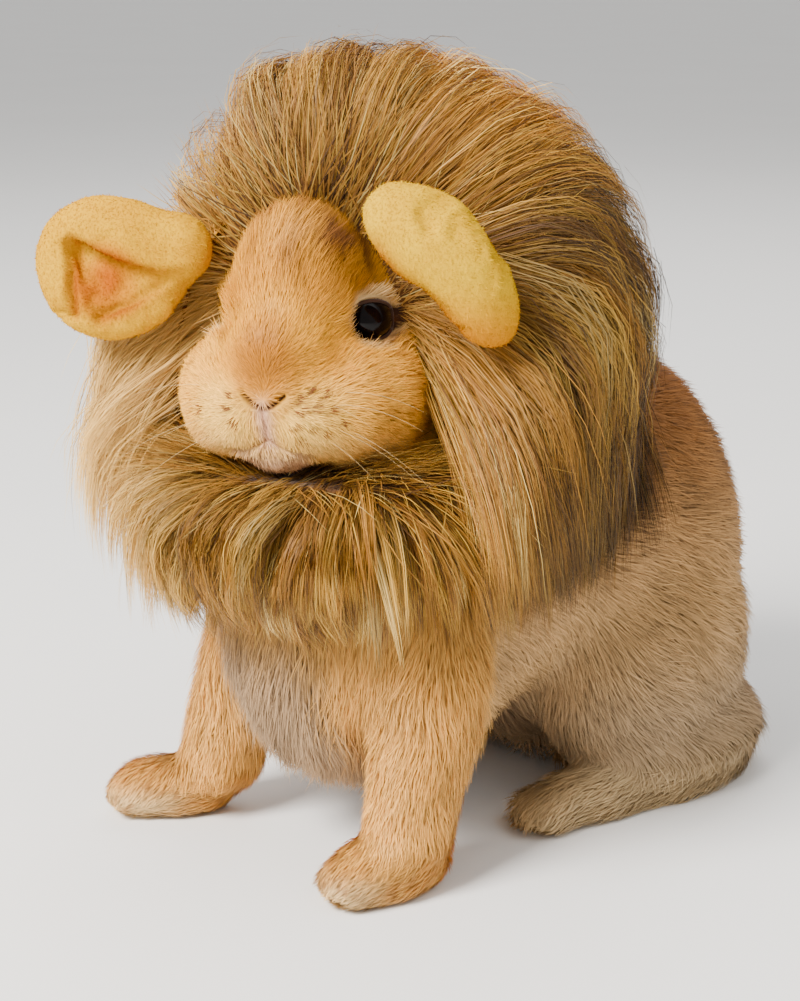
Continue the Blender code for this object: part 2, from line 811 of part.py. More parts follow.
def mane_panel(name, core, cavity, flesh_tree, dice):
    """One panel of the hood: its part of the core with its locks, hollowed to fit the rabbit."""
    limits, off_axis, count = PANELS[name]
    panel = copy_of(core, name)
    sector = wedge("sector", *limits)
    combine(panel, sector, "INTERSECT", "MANIFOLD")
    locks = []
    for root, normal in lock_roots(core, flesh_tree, limits, off_axis, count, dice):
        length = LOCK_LENGTH * dice.uniform(0.75, 1.2)
        path = lock_path(root, normal, length, dice, flesh_tree, limits)
        locks.append(make_lock(path, normal, LOCK_WIDTH * dice.uniform(0.8, 1.15), LOCK_THICKNESS))
    combine_all(panel, locks, "UNION")
    combine(panel, sector, "INTERSECT", "MANIFOLD")
    combine(panel, cavity, "DIFFERENCE", "MANIFOLD")
    clear_face(panel)
    remove(sector)
    keep_largest(panel)
    return panel


def plush_ear_left():
    """A folded ear seen from its side: a fat curved leaf with a hollow along its lower edge."""
    bm = bmesh.new()
    add_tube(bm, [
        ((19, 24.5, 44), 5, 5), ((20, 28, 44.5), 9, 9), ((20, 34.5, 42), 10.5, 12.5),
        ((19.5, 42, 37.5), 11, 15), ((17.5, 49.5, 31), 11, 14.5), ((15, 55, 23), 10.5, 13.2),
        ((12.5, 58, 14.5), 9.5, 10), ((10.5, 58.5, 9), 7.5, 7), ((10, 58.3, 6.5), 3.5, 3.5),
    ])
    ear = make_object("plush_ear_left", bm)
    ear.data.transform(HEAD_FRAME)
    remesh(ear, 0.002, 3)
    fold = [((31, 29, 29), (7.5, 5, 5)), ((30, 37, 21), (7.5, 5, 5)), ((26, 44, 11), (6.5, 4, 4))]
    hollow = hull("hollow", fold, 0, HEAD_FRAME)
    combine(ear, hollow, "DIFFERENCE")
    remove(hollow)
    remesh(ear, 0.002, 2)
    thin_out(ear, 440)
    keep_largest(ear)
    return ear


def plush_ear_right():
    """A round ear seen from the front: a fat rim round a three-cornered hollow, on a short base."""
    bm = bmesh.new()
    add_ball(bm, HEAD_FRAME @ ball_matrix((8, -59, 24), (9.5, 24.5, 23), (0, 0, 8)))
    add_ball(bm, HEAD_FRAME @ ball_matrix((4, -41, 30), (8, 12, 12)))
    ear = make_object("plush_ear_right", bm)
    remesh(ear, 0.002, 3)
    corners = [
        ((18, -67, 31.5), (6, 2.4, 2.4)), ((18.5, -45, 20.5), (6, 2.4, 2.4)), ((18, -62, 11), (6, 2.4, 2.4)),
    ]
    hollow = hull("hollow", corners, 0, HEAD_FRAME)
    combine(ear, hollow, "DIFFERENCE")
    remove(hollow)
    remesh(ear, 0.0018, 2)
    thin_out(ear, 440)
    keep_largest(ear)
    return ear


def neck_hem(flesh):
    """The hood's edge band, which closes round the neck above the forelegs."""
    band = swollen(flesh, "hood_hem", HEM_CLEARANCE + HEM_THICKNESS, 1500)
    bm = bmesh.new()
    place = Matrix.Translation((0, -0.002, 0.119)) @ Matrix.Rotation(math.radians(31), 4, "X")
    place = place @ Matrix.Diagonal((0.3, 0.3, 0.013, 1))
    bmesh.ops.create_cube(bm, size=1, matrix=place)
    slab = make_object("slab", bm)
    combine(band, slab, "INTERSECT", "MANIFOLD")
    inner = swollen(flesh, "inner", HEM_CLEARANCE, 1500)
    combine(band, inner, "DIFFERENCE", "MANIFOLD")
    remove(slab, inner)
    keep_largest(band)
    return band


CLEARANCES = {
    "ear_left": ("head", "neck", "torso", "foreleg_left"),
    "ear_right": ("head", "neck", "torso", "foreleg_right"),
    "hood_hem": ("head", "neck", "torso", "foreleg_left", "foreleg_right", "ear_left", "ear_right"),
    "plush_ear_left": ("head", "ear_left"),
    "plush_ear_right": ("head", "ear_right"),
}


def room_of(other, gap):
    """The other object grown by the gap, more so at the thin edges of an ear."""
    room = copy_of(other, "room")
    swell(room, gap)
    if other.name.startswith("ear"):
        remesh(room, 0.0012)
        swell(room, GAP * 2)
        thin_out(room, EAR_ROOM_TRIANGLES)
    return room


def clear_of(obj, other):
    """Cuts the other object from this one with the gap between them."""
    room = room_of(other, GAP * 2)
    combine(obj, room, "DIFFERENCE", "MANIFOLD")
    remove(room)
    keep_largest(obj)


MATERIALS = {
    "short_fur": ((0.62, 0.36, 0.15), 0.85),
    "pale_fur": ((0.78, 0.56, 0.36), 0.85),
    "eye_brown": ((0.02, 0.012, 0.008), 0.08),
    "mane_fur": ((0.52, 0.33, 0.12), 0.8),
    "hem_cloth": ((0.58, 0.36, 0.09), 0.9),
    "yellow_plush": ((0.90, 0.58, 0.14), 0.95),
}


def material_of(name):
    if name.startswith("eye"):
        return "eye_brown"
    if name.startswith("mane"):
        return "mane_fur"
    if name.startswith("plush"):
        return "yellow_plush"
    if name == "hood_hem":
        return "hem_cloth"
    if name.startswith("hind_foot"):
        return "pale_fur"
    return "short_fur"


clear_scene()
nodes = {}
flesh = whole_flesh()

head = copy_of(flesh, "head")
thin_out(head, HEAD_TRIANGLES)
region = hull("region", HEAD_REGION, 0, HEAD_FRAME)
combine(head, region, "INTERSECT", "MANIFOLD")
remove(region)
keep_largest(head)
detail_head(head)
nodes["head"] = head

body = copy_of(flesh, "torso")
thin_out(body, BODY_TRIANGLES)
region = hull("region", HEAD_REGION, GAP, HEAD_FRAME)
combine(body, region, "DIFFERENCE")
remove(region)
keep_largest(body)
region = hull("neck", NECK_REGION, 0, HEAD_FRAME)
nodes["neck"] = trim(body, region, hull("gap", NECK_REGION, GAP, HEAD_FRAME))
for name, balls in limb_regions().items():
    nodes[name] = trim(body, hull(name, balls), hull("gap", balls, GAP))
nodes["torso"] = body

nodes["hood_hem"] = neck_hem(flesh)
nodes["plush_ear_left"] = plush_ear_left()
nodes["plush_ear_right"] = plush_ear_right()
for side, name in ((1, "left"), (-1, "right")):
    nodes["eye_" + name] = ball("eye_" + name, eye_matrix(side, EYE_RADIUS), 16, 10)
    nodes["ear_" + name] = make_ear(side)

# Each worn or hanging piece is cut clear of the ones that were made before it.
for name, others in CLEARANCES.items():
    for other in others:
        clear_of(nodes[name], nodes[other])

# What the hood leaves room for: the flesh, the lop ears, the hem and the plush ears.
cavity = swollen(flesh, "cavity", HOOD_CLEARANCE, HOLLOW_TRIANGLES)
flesh_tree = BVHTree.FromObject(cavity, bpy.context.evaluated_depsgraph_get())
inner_parts = ("ear_left", "ear_right", "plush_ear_left", "plush_ear_right", "hood_hem")
combine_all(cavity, [room_of(nodes[name], GAP * 4) for name in inner_parts], "UNION")
core = mane_core()
dice = random.Random(FUR_SEED)
for name in PANELS:
    nodes[name] = mane_panel(name, core, cavity, flesh_tree, dice)
    for other in ("head", "neck", "torso", "foreleg_left", "foreleg_right"):
        clear_of(nodes[name], nodes[other])
    flatten(nodes[name], FLATTEN)
    for other in ("ear_left", "ear_right"):
        clear_of(nodes[name], nodes[other])
remove(flesh, core, cavity)

materials = {name: make_material(name, *look) for name, look in MATERIALS.items()}
for name, node in nodes.items():
    tidy_slivers(node)
    node.name = name
    node.data.name = name
    node.data.materials.clear()
    node.data.materials.append(materials[material_of(name)])

# The origin is under the middle of the whole, on the floor.
corners = np.array([vertex.co for node in nodes.values() for vertex in node.data.vertices])
middle = (corners.min(axis=0) + corners.max(axis=0)) / 2
for node in nodes.values():
    node.data.transform(Matrix.Translation((-middle[0], -middle[1], 0)))
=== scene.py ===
"""The looks of a short-haired lop rabbit in a long-haired mane hood with two plush ears.

One skin replaces the flesh. The short coat, the hood's hair and the fleece of the ears are thin
blades of mesh, grown along the lie of each surface from a seeded random stream.
"""

import json
import math

import bmesh
import bpy
import numpy as np
from mathutils import Matrix, Vector
from mathutils.bvhtree import BVHTree

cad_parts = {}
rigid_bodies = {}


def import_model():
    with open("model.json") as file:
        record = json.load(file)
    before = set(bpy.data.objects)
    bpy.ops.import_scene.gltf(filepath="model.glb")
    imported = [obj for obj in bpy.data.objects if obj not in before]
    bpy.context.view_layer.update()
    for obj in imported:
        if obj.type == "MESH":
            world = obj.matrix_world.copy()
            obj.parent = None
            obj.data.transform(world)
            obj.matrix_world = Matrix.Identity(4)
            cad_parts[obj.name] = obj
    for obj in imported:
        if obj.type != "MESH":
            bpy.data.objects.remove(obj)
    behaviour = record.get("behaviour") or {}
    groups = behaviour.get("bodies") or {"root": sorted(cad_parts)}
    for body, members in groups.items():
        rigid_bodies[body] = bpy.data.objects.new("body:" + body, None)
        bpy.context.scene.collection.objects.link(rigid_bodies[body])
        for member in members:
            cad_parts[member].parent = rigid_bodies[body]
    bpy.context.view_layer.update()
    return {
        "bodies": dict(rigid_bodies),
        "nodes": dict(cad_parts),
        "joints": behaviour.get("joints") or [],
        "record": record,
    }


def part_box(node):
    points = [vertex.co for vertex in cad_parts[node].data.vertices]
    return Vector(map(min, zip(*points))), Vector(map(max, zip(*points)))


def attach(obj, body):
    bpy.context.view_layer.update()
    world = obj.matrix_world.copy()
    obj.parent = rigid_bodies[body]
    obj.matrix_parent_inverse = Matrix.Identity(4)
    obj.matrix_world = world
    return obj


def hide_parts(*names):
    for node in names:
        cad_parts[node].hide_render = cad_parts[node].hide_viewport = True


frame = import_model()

MM = 0.001
UP = np.array([0.0, 0.0, 1.0])
NODES = frame["nodes"]

# The head's frame: forward, left and up, round a point in the middle of the head.
HEAD_TURN = math.radians(29.5)
FORWARD = np.array([math.sin(HEAD_TURN), -math.cos(HEAD_TURN), 0.0])
LEFT = np.array([math.cos(HEAD_TURN), math.sin(HEAD_TURN), 0.0])
EYE_RADIUS = 8.7
EYE_PLACE = (1.5, 17.6, 10.5)
EYE_OUT = (0.74, 0.66, 0.11)
LID_OPENING = (8.4, 5.6)
# Half the width of the lids' dark rim.
LID_RIM = 0.62
# How far from an eye's centre its lids and its ring of pale fur are looked for.
EYE_SURROUND = 24

FLESH = [
    "head", "neck", "torso", "tail", "foreleg_left", "foreleg_right", "hind_leg_left",
    "hind_leg_right", "hind_foot_left", "hind_foot_right", "ear_left", "ear_right",
]
MANE = ["mane_crown", "mane_side_left", "mane_side_right", "mane_bib"]

# How strongly each channel is drawn down against red.
TONING = (1.0, 1.25, 1.5)
# The most triangles that one coat piece may have, and the width of a tuft's patch in its map.
PIECE_TRIANGLES = 190000
PATCH = 0.003


def middle_of(node):
    low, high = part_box(node)
    return np.array((low + high) / 2)


eyes_middle = (middle_of("eye_left") + middle_of("eye_right")) / 2
HEAD_POINT = eyes_middle - FORWARD * EYE_PLACE[0] * MM - UP * EYE_PLACE[2] * MM
# From the coordinates that the sizes below are given in to the frame's own.
SHIFT = HEAD_POINT - np.array([0.002, -0.020, 0.162])


def at_head(forward, left, up):
    return HEAD_POINT + (FORWARD * forward + LEFT * left + UP * up) * MM


def in_head(points):
    """Points in the head's frame, in millimetres: forward, left, up."""
    offset = (points - HEAD_POINT) / MM
    return np.stack([offset @ FORWARD, offset @ LEFT, offset @ UP], axis=-1)


def smooth_step(low, high, value):
    t = np.clip((value - low) / (high - low), 0.0, 1.0)
    return t * t * (3 - 2 * t)


def unit(vectors):
    length = np.linalg.norm(vectors, axis=-1, keepdims=True)
    return vectors / np.maximum(length, 1e-9)


def along_surface(vectors, normals):
    """Vectors laid flat on the surface."""
    flat = vectors - normals * np.sum(vectors * normals, axis=-1, keepdims=True)
    return unit(flat)


def grain(points, size, seed=0):
    """Smooth noise from 0 to 1 at the points, with lumps of this size in metres."""
    spot = points / size + seed * 17.31
    cell = np.floor(spot).astype(np.int64)
    part = spot - cell
    part = part * part * (3 - 2 * part)
    total = np.zeros(len(points))
    for corner in range(8):
        step = np.array([corner & 1, corner >> 1 & 1, corner >> 2 & 1])
        key = (cell + step) @ np.array([73856093, 19349663, 83492791]) + seed * 7919
        key = (key ^ (key >> 13)) * 1274126177 & 0x7FFFFFFF
        weight = np.prod(np.where(step, part, 1 - part), axis=1)
        total += weight * ((key ^ (key >> 16)) % 4096 / 4095)
    return total


def linear(colour):
    """A warm colour from 0 to 255, as it should look when lit, in linear values.

    Green and blue are drawn down, as the studio's light and the picture's toning wash them out.
    """
    c = np.asarray(colour, float) / 255
    c = np.where(c <= 0.04045, c / 12.92, ((c + 0.055) / 1.055) ** 2.4)
    return c[0] * (c / c[0]) ** np.array(TONING)


def mixed(one, other, share):
    """Blends rows of colours. Share has one number a row."""
    share = np.asarray(share)[..., None]
    return one * (1 - share) + other * share


def paint(colours, shade, share):
    """Blends rows of colours towards one colour given from 0 to 255."""
    return mixed(colours, linear(shade), share)


def bell(value, width):
    """One at nothing, falling off evenly on both sides within about the width."""
    return np.exp(-((value / width) ** 2))


# Meshes.


def only(obj):
    """Selects this object alone and makes it the active one."""
    bpy.ops.object.select_all(action="DESELECT")
    obj.select_set(True)
    bpy.context.view_layer.objects.active = obj


def new_piece(add, **settings):
    """Adds one primitive with nothing else selected."""
    bpy.ops.object.select_all(action="DESELECT")
    add(**settings)
    return bpy.context.active_object


def smooth(obj):
    only(obj)
    bpy.ops.object.shade_smooth()


def finish_modifiers(obj):
    only(obj)
    for modifier in list(obj.modifiers):
        bpy.ops.object.modifier_apply(modifier=modifier.name)


def add_object(name, mesh):
    obj = bpy.data.objects.new(name, mesh)
    bpy.context.scene.collection.objects.link(obj)
    return obj


def merged_copy(name, nodes, swell):
    """Copies of CAD nodes, each merged and grown a little, joined in one object."""
    joined = bmesh.new()
    for node in nodes:
        part = bmesh.new()
        part.from_mesh(NODES[node].data)
        bmesh.ops.remove_doubles(part, verts=part.verts, dist=0.00001)
        part.normal_update()
        for vertex in part.verts:
            vertex.co += vertex.normal * swell
        mesh = bpy.data.meshes.new("part")
        part.to_mesh(mesh)
        part.free()
        joined.from_mesh(mesh)
        bpy.data.meshes.remove(mesh)
    mesh = bpy.data.meshes.new(name)
    joined.to_mesh(mesh)
    joined.free()
    return add_object(name, mesh)


def fuse(obj, voxel, smoothing):
    modifier = obj.modifiers.new("fuse", "REMESH")
    modifier.mode = "VOXEL"
    modifier.voxel_size = voxel
    modifier = obj.modifiers.new("soften", "SMOOTH")
    modifier.factor = 0.5
    modifier.iterations = smoothing
    finish_modifiers(obj)


def keep_largest(obj):
    """Leaves only the surface with the most faces."""
    bm = bmesh.new()
    bm.from_mesh(obj.data)
    seen = set()
    islands = []
    for start in bm.verts:
        if start in seen:
            continue
        seen.add(start)
        island = [start]
        for vertex in island:
            for edge in vertex.link_edges:
                other = edge.other_vert(vertex)
                if other not in seen:
                    seen.add(other)
                    island.append(other)
        islands.append(island)
    islands.sort(key=len)
    for island in islands[:-1]:
        bmesh.ops.delete(bm, geom=island, context="VERTS")
    bm.to_mesh(obj.data)
    bm.free()


def values_of(source, name, width, kind=np.float32):
    values = np.empty(len(source) * width, kind)
    source.foreach_get(name, values)
    return values.reshape(-1, width)


def points_of(obj):
    return values_of(obj.data.vertices, "co", 3).astype(float)


def set_points(obj, points):
    obj.data.vertices.foreach_set("co", points.astype(np.float32).ravel())
    obj.data.update()


def normals_of(obj):
    return values_of(obj.data.vertex_normals, "vector", 3).astype(float)


def refine(obj, wanted, rounds):
    """Splits the faces near the wanted points once more and rounds them off."""
    bm = bmesh.new()
    bm.from_mesh(obj.data)
    bm.verts.ensure_lookup_table()
    places = np.array([vertex.co for vertex in bm.verts])
    near = wanted(places)
    edges = [edge for edge in bm.edges if near[edge.verts[0].index] and near[edge.verts[1].index]]
    bmesh.ops.subdivide_edges(bm, edges=edges, cuts=1, use_grid_fill=True)
    bm.verts.ensure_lookup_table()
    places = np.array([vertex.co for vertex in bm.verts])
    near = wanted(places)
    verts = [vertex for vertex, yes in zip(bm.verts, near) if yes]
    for _ in range(rounds):
        bmesh.ops.smooth_vert(bm, verts=verts, factor=0.5, use_axis_x=True, use_axis_y=True, use_axis_z=True)
    bm.to_mesh(obj.data)
    bm.free()


def tree_of(obj):
    return BVHTree.FromPolygons(
        [vertex.co for vertex in obj.data.vertices],
        [tuple(face.vertices) for face in obj.data.polygons],
    )


def set_colours(mesh, name, colours):
    layer = mesh.color_attributes.new(name, "FLOAT_COLOR", "POINT")
    values = np.ones((len(colours), 4), np.float32)
    values[:, :3] = colours
    layer.data.foreach_set("color", values.ravel())


# Shading.


class Link:
    """A shader socket whose arithmetic adds Math nodes."""

    def __init__(self, finish, socket):
        self.finish = finish
        self.socket = socket

    def math(self, operation, first, second):
        return self.finish.node("Math", {"operation": operation}, [first, second])

    def __add__(self, other):
        return self.math("ADD", self, other)

    def __mul__(self, other):
        return self.math("MULTIPLY", self, other)

    def __sub__(self, other):
        return self.math("SUBTRACT", self, other)

    def __rsub__(self, other):
        return self.math("SUBTRACT", other, self)

    __radd__ = __add__
    __rmul__ = __mul__


class Finish:
    """A material and what adds its nodes."""

    def __init__(self, name, **settings):
        self.material = bpy.data.materials.new(name)
        self.material.use_nodes = True
        self.tree = self.material.node_tree
        self.shader = self.tree.nodes["Principled BSDF"]
        for key, value in settings.items():
            self.shader.inputs[key.replace("_", " ").title().replace("Ior", "IOR")].default_value = value

    def node(self, kind, settings, values, output=0):
        """Adds one node: its settings first, then the values or links of its sockets."""
        node = self.tree.nodes.new("ShaderNode" + kind)
        for key, value in settings.items():
            if key == "stops":
                ramp = node.color_ramp.elements
                while len(ramp) < len(value):
                    ramp.new(0.5)
                for element, (place, colour) in zip(ramp, value):
                    element.position = place
                    element.color = (*colour, 1.0)
            else:
                setattr(node, key, value)
        pairs = values.items() if isinstance(values, dict) else enumerate(values)
        for key, value in pairs:
            self.set(node.inputs[key], value)
        return Link(self, node.outputs[output])

    def set(self, socket, value):
        if isinstance(value, Link):
            self.tree.links.new(value.socket, socket)
        else:
            socket.default_value = value

    def feed(self, name, value):
        self.set(self.shader.inputs[name], value)

    def place(self):
        return self.node("TexCoord", {}, {}, "Object")

    def noise(self, scale, detail=3.0, roughness=0.6):
        values = {"Vector": self.place(), "Scale": scale, "Detail": detail, "Roughness": roughness}
        return self.node("TexNoise", {}, values)

    def colour_attribute(self, name):
        return self.node("VertexColor", {"layer_name": name}, {})

    def mix(self, share, one, other, kind="MIX"):
        settings = {"data_type": "RGBA", "blend_type": kind}
        return self.node("Mix", settings, {0: share, 6: one, 7: other}, 2)

    def shaded(self, colour, shade):
        """Feeds the base colour, darkened or lightened by a number that changes over the surface."""
        tint = self.node("CombineColor", {}, [shade, shade, shade])
        self.feed("Base Color", self.mix(1.0, colour, tint, "MULTIPLY"))

    def bump(self, height, strength, distance):
        values = {"Height": height, "Strength": strength, "Distance": distance}
        self.feed("Normal", self.node("Bump", {}, values))


def grey(value):
    return (value, value, value, 1.0)


def hair_finish(name, roughness, shine, variation):
    """Blades coloured by their own attribute, with a slight change from one to the next."""
    finish = Finish(name, roughness=roughness, specular_ior_level=shine)
    shade = finish.noise(420.0, 2.0) * variation + (1 - variation / 2)
    finish.shaded(finish.colour_attribute("coat"), shade)
    return finish.material


def skin_finish():
    finish = Finish("short_coat_skin", roughness=0.8, specular_ior_level=0.2)
    fine = finish.noise(900.0, 4.0)
    broad = finish.noise(160.0, 3.0)
    shade = fine * 0.5 + broad * 0.3 + 0.6
    finish.shaded(finish.colour_attribute("coat"), shade)
    finish.bump(fine * 0.7 + broad * 0.3, 0.5, 0.0006)
    return finish.material


def eye_finish(centre, out):
    """A wet dark eye: a black pupil in a brown iris, seen through a clear front."""
    finish = Finish("eye_brown", roughness=0.06, specular_ior_level=0.14)
    offset = finish.node("VectorMath", {"operation": "SUBTRACT"}, [finish.place(), tuple(centre)])
    facing = finish.node("VectorMath", {"operation": "DOT_PRODUCT"}, [offset, tuple(out)], 1)
    share = facing * (1 / (EYE_RADIUS * MM))
    stops = [
        (0.45, (0.006, 0.003, 0.002)), (0.60, (0.016, 0.007, 0.004)), (0.74, (0.013, 0.006, 0.004)),
        (0.80, (0.004, 0.002, 0.002)),
    ]
    iris = finish.node("ValToRGB", {"stops": stops}, [share])
    finish.shaded(iris, finish.noise(900.0, 2.0) * 0.6 + 0.7)
    return finish.material


def cloth_finish(name, colour, deep, scale, roughness, distance):
    """Knitted or felted cloth: two shades of one colour with a fine nap."""
    finish = Finish(name, roughness=roughness, specular_ior_level=0.15, sheen_weight=0.2)
    nap = finish.noise(scale, 4.0, 0.7)
    broad = finish.noise(scale * 0.12, 2.0)
    share = nap * 0.6 + broad * 0.5 - 0.1
    finish.feed("Base Color", finish.mix(share, (*linear(deep), 1.0), (*linear(colour), 1.0)))
    finish.bump(nap, 0.6, distance)
    return finish.material


def plush_finish():
    finish = Finish("yellow_plush", roughness=0.95, specular_ior_level=0.05)
    nap = finish.noise(1100.0, 4.0, 0.7)
    shade = nap * 0.35 + 0.82
    finish.shaded(finish.colour_attribute("coat"), shade)
    finish.bump(nap, 0.5, 0.0004)
    return finish.material


# The flesh under one skin.


def eye_frame(side):
    """The eye's centre, its way out, its way back along the lids, and its way up across them."""
    centre = at_head(EYE_PLACE[0], EYE_PLACE[1] * side, EYE_PLACE[2])
    out = unit(FORWARD * EYE_OUT[0] + LEFT * EYE_OUT[1] * side + UP * EYE_OUT[2])
    across = unit(np.cross(np.cross(out, UP), out))
    along = unit(np.cross(across, out)) * side
    return centre, out, along, across


def lid_reach(angle):
    """The lids' opening at each angle, from the rear corner up: an oval with two drawn-out corners."""
    plain = 1 / np.sqrt((np.cos(angle) / LID_OPENING[0]) ** 2 + (np.sin(angle) / LID_OPENING[1]) ** 2)
    turn = np.mod(angle, 2 * math.pi)
    front = bell(turn - math.pi - 0.62, 0.30)
    rear_off = np.minimum(turn, 2 * math.pi - turn)
    rear = bell(rear_off, 0.26)
    return plain * (1 + 0.12 * front + 0.24 * rear)


def round_eye(points, side):
    """Points seen from an eye: offsets, ways out, angles on the lids, shares of the lids' opening."""
    centre, out, along, across = eye_frame(side)
    offset = (points - centre) / MM
    a, b = offset @ along, offset @ across
    angle = np.arctan2(b, a)
    return offset, offset @ out, angle, np.hypot(a, b) / lid_reach(angle)


def near_face(points):
    p = in_head(points)
    return (p[:, 0] > 2) & (np.abs(p[:, 1]) < 44) & (p[:, 2] > -40) & (p[:, 2] < 50)


def near_details(points):
    p = in_head(points)
    nose = (p[:, 0] > 30) & (np.abs(p[:, 1]) < 16) & (p[:, 2] > -30) & (p[:, 2] < 2)
    for side in (-1, 1):
        offset, deep, _, _ = round_eye(points, side)
        nose |= (np.linalg.norm(offset, axis=1) < 16) & (deep > -2)
    return nose


def coat_depth(points):
    """How far the skin lies under the coat, in metres."""
    p = in_head(points)
    q = points - SHIFT
    depth = np.full(len(points), 2.6)
    leg = smooth_step(0.085, 0.05, q[:, 2]) * smooth_step(0.03, 0.0, q[:, 1])
    depth = depth * (1 - leg) + 1.4 * leg
    foot = smooth_step(0.030, 0.015, q[:, 2])
    depth = depth * (1 - foot) + 0.9 * foot
    head = smooth_step(-22, -6, p[:, 0]) * (np.abs(p[:, 1]) < 48) * (p[:, 2] > -44)
    depth = depth * (1 - head) + 1.1 * head
    muzzle = smooth_step(24, 34, p[:, 0]) * head
    depth = depth * (1 - muzzle) + 0.7 * muzzle
    beside = np.maximum(spot(p, (16, -18, 6), (14, 14, 16)), spot(p, (16, 18, 6), (14, 14, 16)))
    return depth * (1 - beside) * MM


def distance_to_line(points, line):
    """The shortest way from each point to a bent line, both in two dimensions."""
    best = np.full(len(points), 1e9)
    for start, end in zip(line, line[1:]):
        start, end = np.array(start), np.array(end)
        way = end - start
        share = np.clip((points - start) @ way / (way @ way), 0, 1)
        best = np.minimum(best, np.linalg.norm(points - start - share[:, None] * way, axis=1))
    return best


NOSE_SLITS = [[(side * 0.4, -9.1), (side * 2.8, -8.1), (side * 5.9, -5.4)] for side in (-1, 1)]
LIP_LINES = [[(0, -18.4), (side * 3.5, -20.6), (side * 7.5, -22.2), (side * 12, -22.8)] for side in (-1, 1)]
PHILTRUM = [(0, -9.0), (0, -13), (0, -18.6)]


def muzzle_lines(p):
    """How near each point of the head is to the nose slits, the lip lines and the philtrum."""
    front = smooth_step(24, 30, p[:, 0])
    flat = p[:, 1:3]
    slits = np.min([distance_to_line(flat, line) for line in NOSE_SLITS], axis=0)
    lips = np.min([distance_to_line(flat, line) for line in LIP_LINES], axis=0)
    middle = distance_to_line(flat, PHILTRUM)
    return front, slits, lips, middle


def make_skin():
    skin = merged_copy("rabbit_skin", FLESH + ["eye_left", "eye_right"], 0.00035)
    fuse(skin, 0.0016, 10)
    keep_largest(skin)
    refine(skin, near_face, 3)
    refine(skin, near_details, 2)
    points = points_of(skin)
    normals = normals_of(skin)
    points -= normals * (coat_depth(points) + 0.00035)[:, None]
    p = in_head(points)
    front, slits, lips, middle = muzzle_lines(p)
    dent = 1.5 * bell(slits, 0.65)
    dent += 1.1 * bell(lips, 0.8)
    dent += 1.0 * bell(middle, 0.7)
    swell = 0.55 * bell(slits - 1.9, 1.1) * (p[:, 2] > -10)
    points += FORWARD * ((swell - dent) * front * MM)[:, None]
    for side in (-1, 1):
        offset, deep, _, share = round_eye(points, side)
        reach = np.linalg.norm(offset, axis=1)
        close = (reach < 22) & (deep > 0)
        inner = EYE_RADIUS - 0.9
        lid = EYE_RADIUS + 0.25 + 1.15 * smooth_step(1.0, 1.22, share)
        wanted = np.where(share < 1.0, inner, lid)
        keep = smooth_step(1.25, 1.75, share)
        moved = wanted * (1 - keep) + reach * keep
        change = np.where(close & (share < 1.75), moved / np.maximum(reach, 1e-6), 1.0)
        points = eye_frame(side)[0] + offset * change[:, None] * MM
    p = in_head(points)
    hidden = smooth_step(36.5, 40.5, np.abs(p[:, 1])) * (p[:, 0] > -34) * (p[:, 2] > -60)
    points -= FORWARD * (hidden * 6.5 * MM)[:, None]
    lowest = 0.0004
    points[:, 2] = np.maximum(points[:, 2], lowest)
    set_points(skin, points)
    smooth(skin)
    return skin


# The coat's colours. The same functions colour the skin and the blades that grow from it.


def coat_colour(points):
    """The rabbit's markings at the points, in linear colour, with painted shade beside the face, on the
    forehead and on the muzzle.
    """
    p = in_head(points)
    q = (points - SHIFT) / MM
    patch = grain(points, 0.009, 3)
    fine = grain(points, 0.0028, 5)
    top = smooth_step(60, 150, q[:, 2])
    flank = mixed(linear((204, 170, 132)), linear((158, 106, 60)), top)
    low = smooth_step(78, 30, q[:, 2]) * smooth_step(20, 60, q[:, 1])
    colour = paint(flank, (168, 146, 124), low * 0.9)
    rear = smooth_step(112, 150, q[:, 1]) * smooth_step(0, 50, q[:, 2])
    colour = paint(colour, (118, 76, 42), rear * 0.85)
    nape = smooth_step(95, 125, q[:, 2]) * smooth_step(110, 60, q[:, 1])
    colour = paint(colour, (134, 92, 52), nape * 0.8)
    chest = smooth_step(30, 0, q[:, 1]) * smooth_step(60, 80, q[:, 2])
    colour = paint(colour, (206, 162, 104), chest)
    inner = smooth_step(34, 14, np.abs(q[:, 0])) * smooth_step(92, 70, q[:, 2])
    colour = paint(colour, (160, 136, 116), inner * 0.9)
    leg = smooth_step(16, -4, q[:, 1]) * smooth_step(18, 30, np.abs(q[:, 0])) * smooth_step(98, 74, q[:, 2])
    colour = paint(colour, (226, 176, 112), leg)
    toes = smooth_step(16, 6, q[:, 2]) * smooth_step(-30, -44, q[:, 1])
    colour = paint(colour, (238, 214, 176), toes * 0.8)
    ticking = smooth_step(0.55, 0.85, fine) * smooth_step(30, 12, q[:, 2]) * (q[:, 1] < 20)
    colour = paint(colour, (150, 98, 54), ticking * 0.55)
    hind = smooth_step(24, 12, q[:, 2]) * smooth_step(20, 40, q[:, 1])
    colour = paint(colour, (196, 172, 142), hind)
    sole = smooth_step(5, 1, q[:, 2])
    colour = paint(colour, (205, 180, 145), sole * 0.6)
    colour = colour * (0.88 + 0.24 * patch)[:, None]
    colour = mixed(colour, face_colour(points, p, patch, fine), face_share(p))
    # Painted shade: the skin at the sides of the face, where the lop ears lie under the hood, is darkened to
    # a brown shadow between the face and the mane.
    shaded = smooth_step(38.5, 41, np.abs(p[:, 1])) * smooth_step(24, 12, p[:, 0]) * face_share(p)
    return paint(colour, (104, 70, 40), shaded)


def face_share(p):
    reach = np.sqrt(((p[:, 0] + 4) / 62) ** 2 + (p[:, 1] / 56) ** 2 + ((p[:, 2] - 2) / 54) ** 2)
    return smooth_step(1.02, 0.94, reach) * smooth_step(-30, -16, p[:, 0])


def spot(p, centre, radius):
    """One in the middle of a round spot of the head, fading to nothing at its radius."""
    reach = np.linalg.norm((p - np.array(centre)) / np.array(radius), axis=1)
    return smooth_step(1.0, 0.25, reach)


